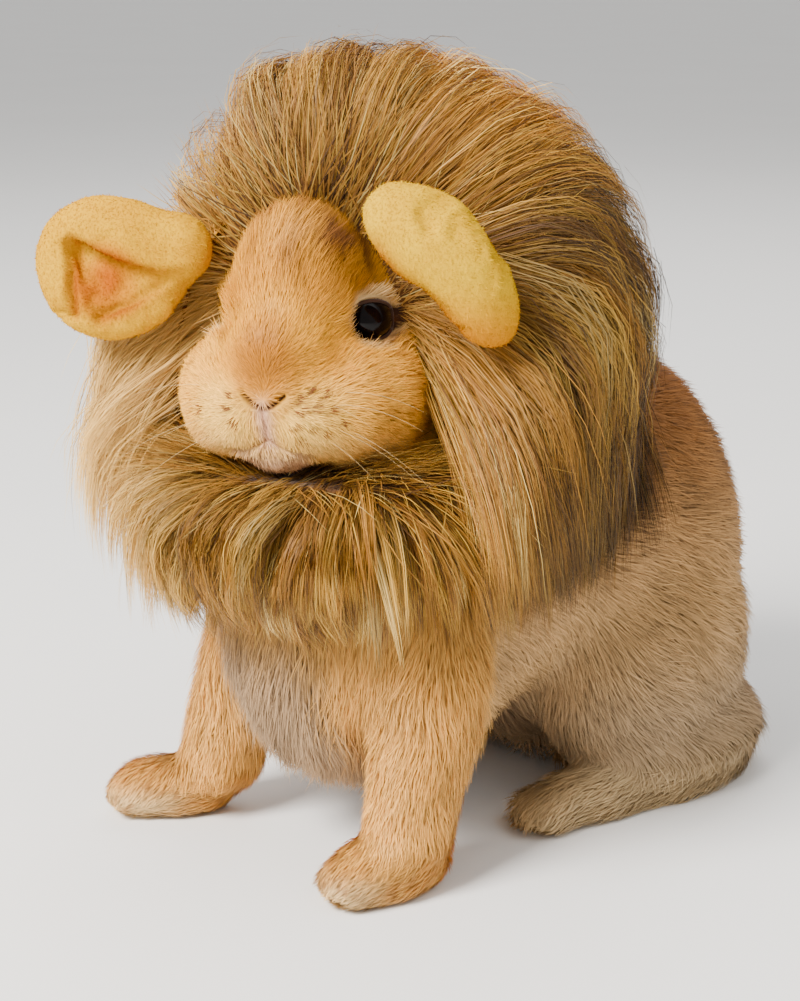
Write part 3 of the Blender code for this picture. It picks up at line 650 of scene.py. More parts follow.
def face_colour(points, p, patch, fine):
    colour = mixed(linear((242, 186, 74)), linear((226, 162, 56)), patch * 0.8)
    streak = smooth_step(0.35, 0.75, grain(points * np.array([1, 1, 0.3]), 0.004, 7))
    brow = smooth_step(16, 38, p[:, 2])
    colour = paint(colour, (158, 104, 54), brow * (0.25 + 0.65 * streak))
    cheek = smooth_step(12, 26, np.abs(p[:, 1])) * smooth_step(12, -4, p[:, 2])
    colour = paint(colour, (246, 192, 100), cheek * 0.85)
    muzzle = np.maximum(spot(p, (34, -10, -14), (18, 17, 16)), spot(p, (34, 10, -14), (18, 17, 16)))
    colour = paint(colour, (254, 216, 134), muzzle * 0.95)
    under = smooth_step(-14, -24, p[:, 2]) * smooth_step(6, 20, p[:, 0])
    colour = paint(colour, (250, 212, 152), under * 0.8)
    bridge = spot(p, (39, 0, 4), (19, 14, 17))
    colour = paint(colour, (186, 128, 34), bridge)
    # Painted shade: a dark brown patch on the upper forehead next to the left plush ear, stronger in streaks.
    shade = spot(p, (8, 12, 36), (34, 24, 34))
    colour = paint(colour, (112, 74, 40), shade * (0.45 + 0.5 * streak))
    for side in (-1, 1):
        offset, deep, angle, share = round_eye(points, side)
        near = (deep > -3) & (np.linalg.norm(offset, axis=1) < EYE_SURROUND)
        ring = smooth_step(1.75, 1.15, share) * near
        colour = paint(colour, (246, 222, 184), ring * 0.85)
        corner = bell(angle, 0.42)
        rim = smooth_step(1.16, 1.05, share / (1 + 0.32 * corner)) * near
        colour = paint(colour, (60, 38, 28), rim)
    front, slits, lips, middle = muzzle_lines(p)
    pink = bell(middle, 2.4) * front
    colour = paint(colour, (236, 196, 180), pink * 0.9)
    # Grey-pink below the lips: partly the chin's own colour, partly painted shade under the lips.
    chin = smooth_step(-20.5, -25, p[:, 2]) * smooth_step(12, 8, np.abs(p[:, 1])) * front
    colour = paint(colour, (206, 172, 156), chin * 0.8)
    # Painted shade in the nostril slits. The lip lines are partly the lips' own pinkish brown, partly painted
    # shade in their crease.
    colour = paint(colour, (74, 42, 32), bell(slits, 0.9) * front)
    colour = paint(colour, (150, 108, 92), bell(lips, 0.7) * front * 0.8)
    for side in (-1, 1):
        for f, left, up in WHISKER_SPOTS:
            dot = spot(p, (f, left * side, up), (6, 1.9, 1.5))
            colour = paint(colour, (128, 82, 44), dot * (0.55 + 0.45 * side))
    tick = smooth_step(0.55, 0.80, fine) * smooth_step(8, 16, np.abs(p[:, 1])) * smooth_step(34, 20, p[:, 0])
    tick = tick * smooth_step(-26, -16, p[:, 2]) * smooth_step(14, 4, p[:, 2])
    return paint(colour, (150, 96, 48), tick * 0.6)


WHISKER_SPOTS = [
    (38, 8.5, -7.0), (37, 12.0, -5.0), (35, 15.0, -6.5), (38, 9.5, -10.0), (37, 13.0, -9.5),
    (35, 16.5, -10.5), (38, 8.5, -13.0), (37, 12.0, -13.5), (35, 15.5, -14.5), (33, 19.0, -13.0),
    (37, 10.0, -16.5),
]


# Blades of hair.


def add_blades(name, path, side, colours, places, finish, tone=1.0):
    """Many thin tapered blades, each a strip of triangles from its root to its tip.

    Path is blades by points by three. Side is half the width across, at each point but the tip.
    Colours are the roots' and the tips'. Tone is one factor a point, or one for all.
    """
    count = path.shape[1]
    share = (np.arange(count) / (count - 1))[None, :, None]
    colour = colours[0][:, None] * (1 - share) + colours[1][:, None] * share
    colour = colour * np.asarray(tone)[..., None]
    pieces = math.ceil(len(path) * (2 * count - 3) / PIECE_TRIANGLES)
    for index, rows in enumerate(np.array_split(np.arange(len(path)), pieces)):
        label = name if pieces == 1 else f"{name}_{index + 1}"
        piece = blade_mesh(label, path[rows], side[rows], colour[rows], places[rows])
        piece.data.materials.append(finish)
        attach(piece, "root")


def blade_mesh(name, path, side, colour, places):
    """The strips as one mesh, with their colours and a small patch each in the map."""
    blades, count, _ = path.shape
    last = count - 1
    per = 2 * last + 1
    step = np.append(np.repeat(np.arange(last), 2), last)
    way = np.append(np.tile([-1.0, 1.0], last), 0.0)
    verts = path[:, step]
    verts[:, :-1] += side[:, step[:-1]] * way[:-1, None]
    shade = colour[:, step]
    spots = np.stack([way / 2, step / last - 0.5], axis=1)
    strip = [face for a in range(0, 2 * last - 2, 2) for face in ((a, a + 1, a + 3), (a, a + 3, a + 2))]
    strip = np.array(strip + [(2 * last - 2, 2 * last - 1, 2 * last)])
    faces = (strip[None] + (np.arange(blades) * per)[:, None, None]).reshape(-1, 3)
    mesh = bpy.data.meshes.new(name)
    mesh.vertices.add(blades * per)
    mesh.loops.add(faces.size)
    mesh.polygons.add(len(faces))
    mesh.vertices.foreach_set("co", verts.astype(np.float32).ravel())
    mesh.loops.foreach_set("vertex_index", faces.astype(np.int32).ravel())
    mesh.polygons.foreach_set("loop_start", np.arange(0, faces.size, 3, dtype=np.int32))
    mesh.polygons.foreach_set("use_smooth", np.ones(len(faces), bool))
    mesh.update(calc_edges=True)
    set_colours(mesh, "coat", shade.reshape(-1, 3))
    patch = places[:, None, :] + spots[None] * PATCH
    layer = mesh.uv_layers.new(name="OFBake")
    corners = np.clip(patch.reshape(-1, 2)[faces.ravel()], 0, 1)
    layer.data.foreach_set("uv", corners.astype(np.float32).ravel())
    return add_object(name, mesh)


def bent_paths(roots, ways, normals, lengths, rise, fall, count):
    """Short hair: leaves at a slant, lies down along the surface, and tapers to its tip."""
    share = np.linspace(0, 1, count)[None, :, None]
    reach = lengths[:, None, None]
    out = rise[:, None, None] * share - fall[:, None, None] * share * share
    return roots[:, None] + reach * (ways[:, None] * share + normals[:, None] * out)


def blade_sides(path, normals, widths, taper):
    """Half the width across, turned to lie with the surface."""
    ways = np.diff(path, axis=1)
    across = unit(np.cross(ways, normals[:, None]))
    return across * (widths[:, None] * np.asarray(taper)[None] / 2)[:, :, None]


class Ground:
    """A surface to grow from: random roots with their normals and their places on its unwrap."""

    def __init__(self, obj):
        only(obj)
        bpy.ops.object.mode_set(mode="EDIT")
        bpy.ops.mesh.select_all(action="SELECT")
        bpy.ops.uv.smart_project(angle_limit=math.radians(66), island_margin=0.002)
        bpy.ops.object.mode_set(mode="OBJECT")
        mesh = obj.data
        mesh.calc_loop_triangles()
        corners = values_of(mesh.loop_triangles, "vertices", 3, np.int32).ravel()
        loops = values_of(mesh.loop_triangles, "loops", 3, np.int32).ravel()
        places = values_of(mesh.uv_layers.active.data, "uv", 2)
        points, normals = points_of(obj), normals_of(obj)
        self.corners = points[corners].reshape(-1, 3, 3)
        self.normals = normals[corners].reshape(-1, 3, 3)
        self.places = places[loops].reshape(-1, 3, 2).astype(float)
        sides = np.cross(self.corners[:, 1] - self.corners[:, 0], self.corners[:, 2] - self.corners[:, 0])
        self.areas = np.linalg.norm(sides, axis=1) / 2
        self.middles = self.corners.mean(axis=1)

    def roots(self, dice, density):
        """Draws roots with this many a square millimetre at each face's middle."""
        wanted = self.areas / MM**2 * density(self.middles)
        number = np.floor(wanted + dice.random(len(wanted))).astype(int)
        face = np.repeat(np.arange(len(wanted)), number)
        a, b = dice.random(len(face)), dice.random(len(face))
        flip = a + b > 1
        a, b = np.where(flip, 1 - a, a), np.where(flip, 1 - b, b)
        weights = np.stack([1 - a - b, a, b], axis=1)[:, :, None]
        points = (self.corners[face] * weights).sum(axis=1)
        normals = unit((self.normals[face] * weights).sum(axis=1))
        places = (self.places[face] * weights).sum(axis=1)
        return points, normals, places


# The short coat.


def short_lie(points, normals):
    """The way the rabbit's own coat lies."""
    p = in_head(points)
    q = (points - SHIFT) / MM
    lie = np.tile(np.array([0.0, 1.0, -0.45]), (len(points), 1))
    lie[:, 2] -= 0.6 * smooth_step(100, 50, q[:, 2])
    front = smooth_step(20, -6, q[:, 1])[:, None]
    lie = lie * (1 - front) + np.array([0.0, -0.1, -1.0]) * front
    paw = (smooth_step(24, 12, q[:, 2]) * smooth_step(20, -6, q[:, 1]))[:, None]
    lie = lie * (1 - paw) + np.array([0.0, -1.0, -0.25]) * paw
    hind = (smooth_step(26, 14, q[:, 2]) * smooth_step(10, 40, q[:, 1]))[:, None]
    lie = lie * (1 - hind) + np.array([0.0, -1.0, -0.3]) * hind
    from_nose = points - at_head(46, 0, -7)
    face_lie = unit(from_nose) - FORWARD * 0.5
    rising = 0.55 * smooth_step(8, 26, p[:, 2]) - 0.25 * smooth_step(0, -20, p[:, 2])
    face_lie = face_lie + UP * rising[:, None]
    head = face_share(p)[:, None]
    lie = unit(lie) * (1 - head) + unit(face_lie) * head
    wave = np.stack([grain(points, 0.012, k) - 0.5 for k in (11, 12, 13)], axis=1)
    return along_surface(lie + wave * 0.7, normals)


def off_eyes(points, margin):
    """Whether the points keep clear of both eye openings."""
    clear = np.ones(len(points), bool)
    for side in (-1, 1):
        offset, deep, _, share = round_eye(points, side)
        clear &= ~((share < margin) & (deep > 0) & (np.linalg.norm(offset, axis=1) < EYE_SURROUND))
    return clear


def grow_short_coat(ground, dice):
    """Fine hair on the face and feet, longer on the trunk, none where the hood covers it well."""

    def density(points):
        p = in_head(points)
        q = (points - SHIFT) / MM
        face = face_share(p)
        thick = 1.5 + 2.6 * face * smooth_step(-12, 4, p[:, 0])
        thick += 1.1 * smooth_step(60, 20, q[:, 2]) * smooth_step(30, 0, q[:, 1])
        return thick * (q[:, 2] > 1.2) * shown

    shown = np.ones(len(ground.middles))
    shown[covered(ground.middles)] = 0.0
    for side in ("left", "right"):
        low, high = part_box("ear_" + side)
        inside = (ground.middles > np.array(low)) & (ground.middles < np.array(high))
        beside = np.abs(in_head(ground.middles)[:, 1]) > 38.5
        shown[inside.all(axis=1) & beside] = 0.0
    points, normals, places = ground.roots(dice, density)
    keep = off_eyes(points, 1.28)
    p = in_head(points)
    front, slits, _, _ = muzzle_lines(p)
    keep &= ~((slits < 1.3) & (front > 0.5))
    points, normals, places, p = points[keep], normals[keep], places[keep], p[keep]
    q = (points - SHIFT) / MM
    face = face_share(p)
    count = len(points)
    length = 11.0 * (1 - face) + 5.2 * face
    length *= 1 - 0.35 * smooth_step(60, 20, q[:, 2]) * smooth_step(30, 0, q[:, 1]) * (1 - face)
    length *= 1 - 0.45 * smooth_step(20, 10, q[:, 2])
    length *= 1 - 0.5 * smooth_step(28, 40, p[:, 0]) * face
    length *= 1 + 0.9 * smooth_step(20, 40, p[:, 2]) * face
    far_brow = spot(p, (17, -17, 8), (16, 13, 16)) * face
    length *= 1 + 0.7 * far_brow
    length *= 1 + 0.8 * smooth_step(34, 14, np.abs(q[:, 0])) * smooth_step(95, 60, q[:, 2]) * (1 - face)
    length = length * dice.uniform(0.7, 1.25, count) * (0.8 + 0.4 * grain(points, 0.006, 21)) * MM
    way = short_lie(points, normals)
    way = unit(way + dice.normal(0, 0.16, (count, 3)))
    way = along_surface(way, normals)
    rise = dice.uniform(0.28, 0.55, count) + 0.15 * (1 - face) + 0.5 * far_brow
    rise += 0.25 * smooth_step(60, 20, q[:, 2]) * smooth_step(40, 10, np.abs(q[:, 0])) * (1 - face)
    path = bent_paths(points, way, normals, length, rise, rise * 0.55, 3)
    path[:, :, 2] = np.maximum(path[:, :, 2], 0.0005)
    width = (0.42 * (1 - face) + 0.24 * face) * dice.uniform(0.7, 1.2, count) * MM
    side = blade_sides(path, normals, width, (1.0, 0.75))
    colour = coat_colour(points)
    light = dice.uniform(0.0, 1.0, count)
    root = colour * (0.64 + 0.20 * light)[:, None]
    tip = colour * (0.78 + 0.58 * light)[:, None]
    chance = 0.10 * (1 - face) + 0.04 + 0.10 * face * smooth_step(10, 34, p[:, 2])
    dark_tip = (dice.random(count) < chance) & (q[:, 2] > 30)
    tip[dark_tip] *= 0.35
    streak = smooth_step(0.62, 0.86, grain(points * np.array([1, 0.35, 1]), 0.007, 31))
    nape = streak * smooth_step(85, 120, q[:, 2]) * (1 - face) * smooth_step(150, 90, q[:, 1])
    tip = paint(tip, (60, 40, 28), nape * 0.7)
    trunk = np.where(face > 0.5, 0, np.where((q[:, 2] < 78) & (q[:, 1] < 24), 1, 2))
    for part, name in enumerate(("coat_face", "coat_forelegs", "coat_trunk")):
        rows = trunk == part
        colours = root[rows], tip[rows]
        add_blades(name, path[rows], side[rows], colours, places[rows], short_hair)


# The hood.

HOOD_TURN = math.radians(24)
HOOD_TILT = math.radians(14)
HOOD_AXIS = unit(np.array([math.sin(HOOD_TURN), -math.cos(HOOD_TURN), math.tan(HOOD_TILT)]))
HOOD_LEFT = np.array([math.cos(HOOD_TURN), math.sin(HOOD_TURN), 0.0])
HOOD_UP = unit(np.cross(HOOD_LEFT, -HOOD_AXIS))
HOOD_POINT = np.array([0.001, -0.008, 0.156]) + SHIFT
# The hood's cloth and underfur, and the room that its hair fills, as centres and radii in millimetres.
HOOD_BODY = [
    ((0, 8, 164), (57, 60, 59)), ((0, -20, 122), (50, 38, 32)), ((0, 14, 134), (63, 48, 36)),
    ((0, 46, 162), (44, 34, 32)),
]
HAIR_ROOM = [((-1, 12, 167), (86, 98, 88)), ((2, -12, 127), (84, 76, 56))]
# How much of the backing's radii its cloth takes up.
BODY_FIT = 0.985
# The face opening: half its angle in degrees, and where its two planes meet, in the head's frame.
FACE_OPENING = 24
OPENING_PLACE = (0.007, 0, -0.034)
# Fine hairs in each lock, points along each, and steps that a lock's middle line is grown in.
STRANDS_A_LOCK = 27
MANE_POINTS = 6
LOCK_STEPS = 10
# The most that the hair stands off the backing, in metres.
HAIR_DEPTH = 0.036
# How softly the hood's rounded forms run into each other, in metres.
SHELL_BLEND = 0.004


def make_hood_body():
    """The hood's backing: rounded forms fused, with the face opening cut by two slanting planes."""
    balls = []
    for centre, radii in HOOD_BODY:
        ball = new_piece(bpy.ops.mesh.primitive_uv_sphere_add, segments=48, ring_count=32, radius=1)
        place = Matrix.Translation(Vector(np.array(centre) * MM + SHIFT))
        ball.data.transform(place @ Matrix.Diagonal((*(np.array(radii) * MM * BODY_FIT), 1)))
        balls.append(ball)
    only(balls[0])
    for ball in balls:
        ball.select_set(True)
    bpy.ops.object.join()
    hood = bpy.context.active_object
    hood.name = "hood_backing"
    hood.data.name = "hood_backing"
    fuse(hood, 0.003, 4)
    head = Matrix((FORWARD, LEFT, UP)).transposed().to_4x4()
    head.translation = Vector(HEAD_POINT)
    for side in (-1, 1):
        place = head @ Matrix.Translation(OPENING_PLACE)
        place = place @ Matrix.Rotation(math.radians(-FACE_OPENING * side), 4, "Z")
        place = place @ Matrix.Rotation(math.radians(-3), 4, "Y")
        place = place @ Matrix.Translation((0.1, 0, 0.1)) @ Matrix.Diagonal((0.2, 0.4, 0.2, 1))
        block = new_piece(bpy.ops.mesh.primitive_cube_add, size=1)
        block.data.transform(place)
        cut = hood.modifiers.new("opening", "BOOLEAN")
        cut.operation = "DIFFERENCE"
        cut.object = block
        finish_modifiers(hood)
        bpy.data.objects.remove(block)
    fuse(hood, 0.0025, 3)
    keep_largest(hood)
    smooth(hood)
    return hood


def hood_shell(points):
    """How high points are over the hood's rounded forms, as if uncut, and the way out of them."""
    levels, ways = [], []
    for centre, radii in HOOD_BODY:
        size = np.array(radii) * MM * BODY_FIT
        offset = points - np.array(centre) * MM - SHIFT
        reach = np.maximum(np.linalg.norm(offset / size, axis=1), 0.05)
        levels.append(np.linalg.norm(offset, axis=1) * (1 - 1 / reach))
        ways.append(unit(offset / size**2))
    levels = np.array(levels)
    lowest = levels.min(axis=0)
    weights = np.exp((lowest - levels) / SHELL_BLEND)
    level = lowest - SHELL_BLEND * np.log(weights.sum(axis=0))
    return level, unit((np.array(ways) * weights[:, :, None]).sum(axis=0))


def covered(points):
    """Whether points are well inside the hood's backing."""
    p = in_head(points)
    behind = p[:, 0] < -1 - 0.445 * np.abs(p[:, 1])
    return (hood_shell(points)[0] < -0.006) & (behind | (p[:, 2] < -38))


def mane_lie(points, normals):
    """The way the hood's hair lies: up and back on the crown, down the sides, hanging below."""
    offset = points - HOOD_POINT
    ahead = offset @ HOOD_AXIS
    radial = unit(offset - ahead[:, None] * HOOD_AXIS)
    top = smooth_step(0.1, 0.85, radial @ HOOD_UP)[:, None]
    under = smooth_step(0.1, 0.85, -(radial @ HOOD_UP))[:, None]
    side = smooth_step(0.25, 0.9, np.abs(radial @ HOOD_LEFT)) * smooth_step(0.80, 0.25, radial @ HOOD_UP)
    side = side[:, None] * (1 - under)
    back = smooth_step(0.012, -0.060, ahead)[:, None]
    lie = radial * ((1.0 * top + 0.50 * side + 0.45 * under) * (1 - 0.8 * back))
    lie = lie - HOOD_AXIS * (0.22 + 0.88 * back) * (1 - 0.8 * under) * (1 - 0.9 * side * (1 - back))
    lie = lie - UP * (0.05 + 1.15 * side + 1.25 * under + 0.45 * back)
    return along_surface(lie, normals)


def rim_share(points):
    ahead = (points - HOOD_POINT) @ HOOD_AXIS
    above = smooth_step(-0.045, -0.015, points[:, 2] - HOOD_POINT[2])
    return above * smooth_step(-0.025, 0.010, ahead)


def room_above(points, ways):
    """How far each point can go along its way before it leaves the room that the hair fills."""
    best = np.zeros(len(points))
    for centre, radii in HAIR_ROOM:
        size = np.array(radii) * MM
        start = (points - np.array(centre) * MM - SHIFT) / size
        way = ways / size
        a = np.sum(way * way, axis=1)
        b = np.sum(start * way, axis=1)
        inner = b * b - a * (np.sum(start * start, axis=1) - 1)
        far = np.where(inner > 0, (np.sqrt(np.maximum(inner, 0)) - b) / a, 0)
        best = np.maximum(best, far)
    return best


def face_room(p, margin):
    """From 0 in the middle to 1 at the edge of the room before the face, and which points are so far on."""
    far = np.clip(p[:, 0] - 18, 0, 60)
    wide = 33 + margin + 7 * smooth_step(8, -4, p[:, 2]) + far * 0.30
    share = np.hypot(p[:, 1] / wide, (p[:, 2] - 4) / (36 + margin + far * 0.24))
    return share, (p[:, 0] > -6) & (p[:, 2] > -29)


def before_face(points, part=1.0):
    """Whether points are in the room, or its middle part, that stays free before the face and the eyes."""
    share, ahead = face_room(in_head(points), 0)
    return (share < part) & ahead


def keep_off_face(points):
    """Moves points that just enter the room before the face sideways out of it."""
    p = in_head(points)
    share, ahead = face_room(p, 1)
    grow = np.where((share < 1) & (share > 0.6) & ahead, 1 / np.maximum(share, 0.6) - 1, 0.0)[:, None]
    return points + (LEFT * p[:, 1:2] + UP * (p[:, 2:3] - 4)) * grow * MM


def nearest(tree, points):
    """The nearest spot of the surface to each point: its height over it, its distance, the normal."""
    heights, distances = np.empty(len(points)), np.empty(len(points))
    normals = np.empty((len(points), 3))
    for index, point in enumerate(points):
        here = Vector(point)
        spot, normal, _, distance = tree.find_nearest(here)
        heights[index] = (here - spot).dot(normal)
        distances[index] = distance
        normals[index] = normal
    return heights, distances, normals


def within(tree, points, margin):
    """Whether points are inside a closed surface or closer to it than the margin."""
    heights, distances, _ = nearest(tree, points)
    return (heights < -0.5 * distances) | (distances < margin)


def push_out(tree, points, margin):
    """Moves points that are inside a closed surface, or closer than the margin, out of it."""
    heights, distances, normals = nearest(tree, points)
    rows = ((heights < -0.5 * distances) & (distances < 0.014)) | (distances < margin)
    return points + normals * np.where(rows, margin - heights, 0.0)[:, None]


def mane_guides(ground, trees, dice, density, steps):
    """The middle line of each lock: rises to its own height over the backing and follows the lie."""
    skin_tree, ear_trees = trees
    roots, normals, places = ground.roots(dice, density)
    keep = ~within(skin_tree, roots, 0.0005) & ~before_face(roots, 0.85)
    for tree in ear_trees:
        keep &= ~within(tree, roots, 0.0005)
    roots, normals, places = roots[keep], normals[keep], places[keep]
    count = len(roots)
    level, ups = hood_shell(roots)
    wall = smooth_step(-0.002, -0.007, level)
    offset = roots - HOOD_POINT
    below = smooth_step(-0.010, -0.050, offset[:, 2])
    height = np.where(
        dice.random(count) < 0.55, dice.uniform(0.78, 1.0, count), dice.uniform(0.25, 0.8, count)
    )
    length = dice.uniform(0.050, 0.086, count) * (0.72 + 0.28 * height) * (1 - 0.22 * below)
    length *= 1 + dice.uniform(-0.3, 0.25, count) * below
    left = offset @ HOOD_LEFT
    length *= 1 + 0.22 * rim_share(roots) * smooth_step(0.0, 0.03, offset[:, 2])
    length *= 1 + 0.65 * smooth_step(0.015, 0.045, left) * smooth_step(0.025, -0.020, offset[:, 2])
    length *= 1 - 0.20 * below * smooth_step(0.050, 0.020, np.abs(left))
    sway = (grain(roots, 0.026, 41) - 0.5) * 1.0 + (grain(roots, 0.009, 42) - 0.5) * 0.4
    sway += (grain(roots, 0.013, 43) - 0.5) * 1.5 * below
    sway = sway * (0.8 + 1.5 * below) + dice.normal(0, 1, count) * (0.12 + 0.08 * below)
    droop = 0.15 + 0.75 * below
    path = np.empty((count, steps + 1, 3))
    path[:, 0] = roots - normals * 0.002
    here = roots.copy()
    alive = np.ones(count, bool)
    for step in range(steps):
        share = (step + 1) / steps
        lie = mane_lie(here, ups)
        lie = unit(lie + np.cross(ups, lie) * (sway * (1 - 0.5 * share))[:, None])
        lift = 2.4 * max(1 - share * 3.0, 0.0)
        offset = here - HOOD_POINT
        left = offset @ HOOD_LEFT
        free = smooth_step(0.015, 0.040, np.abs(left)) * smooth_step(-0.010, -0.038, offset[:, 2])
        apart = HOOD_LEFT * np.sign(left)[:, None]
        lie = lie * (1 - 0.5 * free[:, None]) + (apart * 0.55 - HOOD_AXIS * 0.25 - UP) * (0.5 * free[:, None])
        free = np.maximum(free, below * smooth_step(0.35, 0.75, share))
        raised = (ups * (1 - wall)[:, None] + normals) * lift * 0.5
        heading = unit(lie + raised - UP * (droop * share)[:, None])
        here = here + heading * (length / steps)[:, None]
        level, ups = hood_shell(here)
        room = np.minimum(room_above(here - ups * level[:, None], ups), HAIR_DEPTH)
        aim = height * (1 - (1 - min(share * 3.2, 1.0)) ** 2) * (1 - 0.12 * share * share)
        held = 0.75 * (1 - free) * (1 - wall * max(1 - share * 2.5, 0))
        here = here + ups * ((room * aim - level) * held)[:, None]
        level, ups = hood_shell(here)
        here = here + ups * (np.maximum(0.0008 - level, 0) * smooth_step(0.1, 0.4, share))[:, None]
        on_head = smooth_step(-14, -4, in_head(here)[:, 0])
        here = push_out(skin_tree, here, 0.0050 - 0.0030 * on_head)
        for tree in ear_trees:
            before = here
            here = push_out(tree, here, 0.0035)
            alive &= (here - before) @ FORWARD < 0.0012
        here = keep_off_face(here)
        path[:, step + 1] = here
    ends = (dice.uniform(0.072, 0.100, count) + SHIFT[2])[:, None]
    reach = np.maximum((path[:, :, 2] > ends).mean(axis=1), 0.35)
    rows = np.where(alive)[0]
    return path[rows], normals[rows], places[rows], reach[rows]


def curve_through(path, count):
    """Points spread evenly over the path's own steps, rounded by a running mean."""
    steps = path.shape[1] - 1
    at = np.linspace(0, steps, count)
    low = np.minimum(at.astype(int), steps - 1)
    part = (at - low)[None, :, None]
    line = path[:, low] * (1 - part) + path[:, low + 1] * part
    line[:, 1:-1] = line[:, 1:-1] * 0.5 + (line[:, :-2] + line[:, 2:]) * 0.25
    return line


MANE_SHADES = np.array([
    linear((206, 156, 86)), linear((232, 190, 112)), linear((170, 124, 70)), linear((96, 68, 42)),
    linear((244, 216, 156)),
])


def mane_colour(roots, dice):
    """One colour a lock: ochre, gold, tan, brown and cream, by its place on the hood, with painted light on
    the upper left side, painted shade lower down that side and under the chin, and partly painted light on
    the lower right.
    """
    q = (roots - SHIFT) / MM
    count = len(roots)
    right_low = smooth_step(-20, -55, q[:, 0]) * smooth_step(160, 110, q[:, 2])
    rear = smooth_step(10, 60, q[:, 1])
    chances = np.tile(np.array([0.36, 0.23, 0.20, 0.13, 0.08]), (count, 1))
    chances[:, 3] += 0.14 * rear
    chances[:, 2] += 0.20 * rear
    chances[:, 4] += 0.35 * right_low
    chances = np.cumsum(chances / chances.sum(axis=1, keepdims=True), axis=1)
    drawn = (dice.random(count)[:, None] > chances).sum(axis=1)
    colour = MANE_SHADES[np.minimum(drawn, 4)]
    broad = grain(roots, 0.03, 51)
    offset = roots - HOOD_POINT
    left = offset @ HOOD_LEFT
    high = offset[:, 2]
    ahead = offset @ HOOD_AXIS
    # Paler on the lower right: partly paler locks, partly painted light on the side the key light falls on.
    pale = smooth_step(-0.015, -0.050, left) * smooth_step(0.030, 0.0, high)
    colour = paint(colour, (236, 202, 148), pale * 0.5)
    # Painted light on the upper left side of the hood, and painted shade below it, on the left side turned
    # from the key light.
    lit = smooth_step(0.0, 0.03, left) * smooth_step(0.025, 0.050, high)
    tone = 0.92 + 0.44 * broad + 0.25 * lit
    dark = smooth_step(0.018, 0.046, left) * smooth_step(0.040, 0.015, high)
    dark = dark * smooth_step(0.022, -0.004, ahead)
    tone *= 1 - 0.62 * dark
    # Painted shade under the chin, in the middle of the hanging bib.
    tone *= 1 - 0.35 * smooth_step(-0.016, -0.040, high) * smooth_step(0.045, 0.015, np.abs(left))
    brow = smooth_step(0.034, 0.024, np.linalg.norm(offset - HOOD_AXIS * ahead[:, None] - UP * 0.036, axis=1))
    tone *= 1 - 0.36 * brow * smooth_step(-0.01, 0.01, ahead)
    return colour * tone[:, None]


def clear_of_ear(tree, path):
    """Which blades neither enter a plush ear nor lie on its front."""
    heights, distances, normals = nearest(tree, path.reshape(-1, 3))
    inside = (heights < 0.0005) & ((heights < -0.5 * distances) | (distances < 0.0005))
    before = (normals @ FORWARD > 0.35) & (heights < 0.012) & (heights > 0.6 * distances)
    return ~(inside | before).reshape(len(path), -1).any(axis=1)


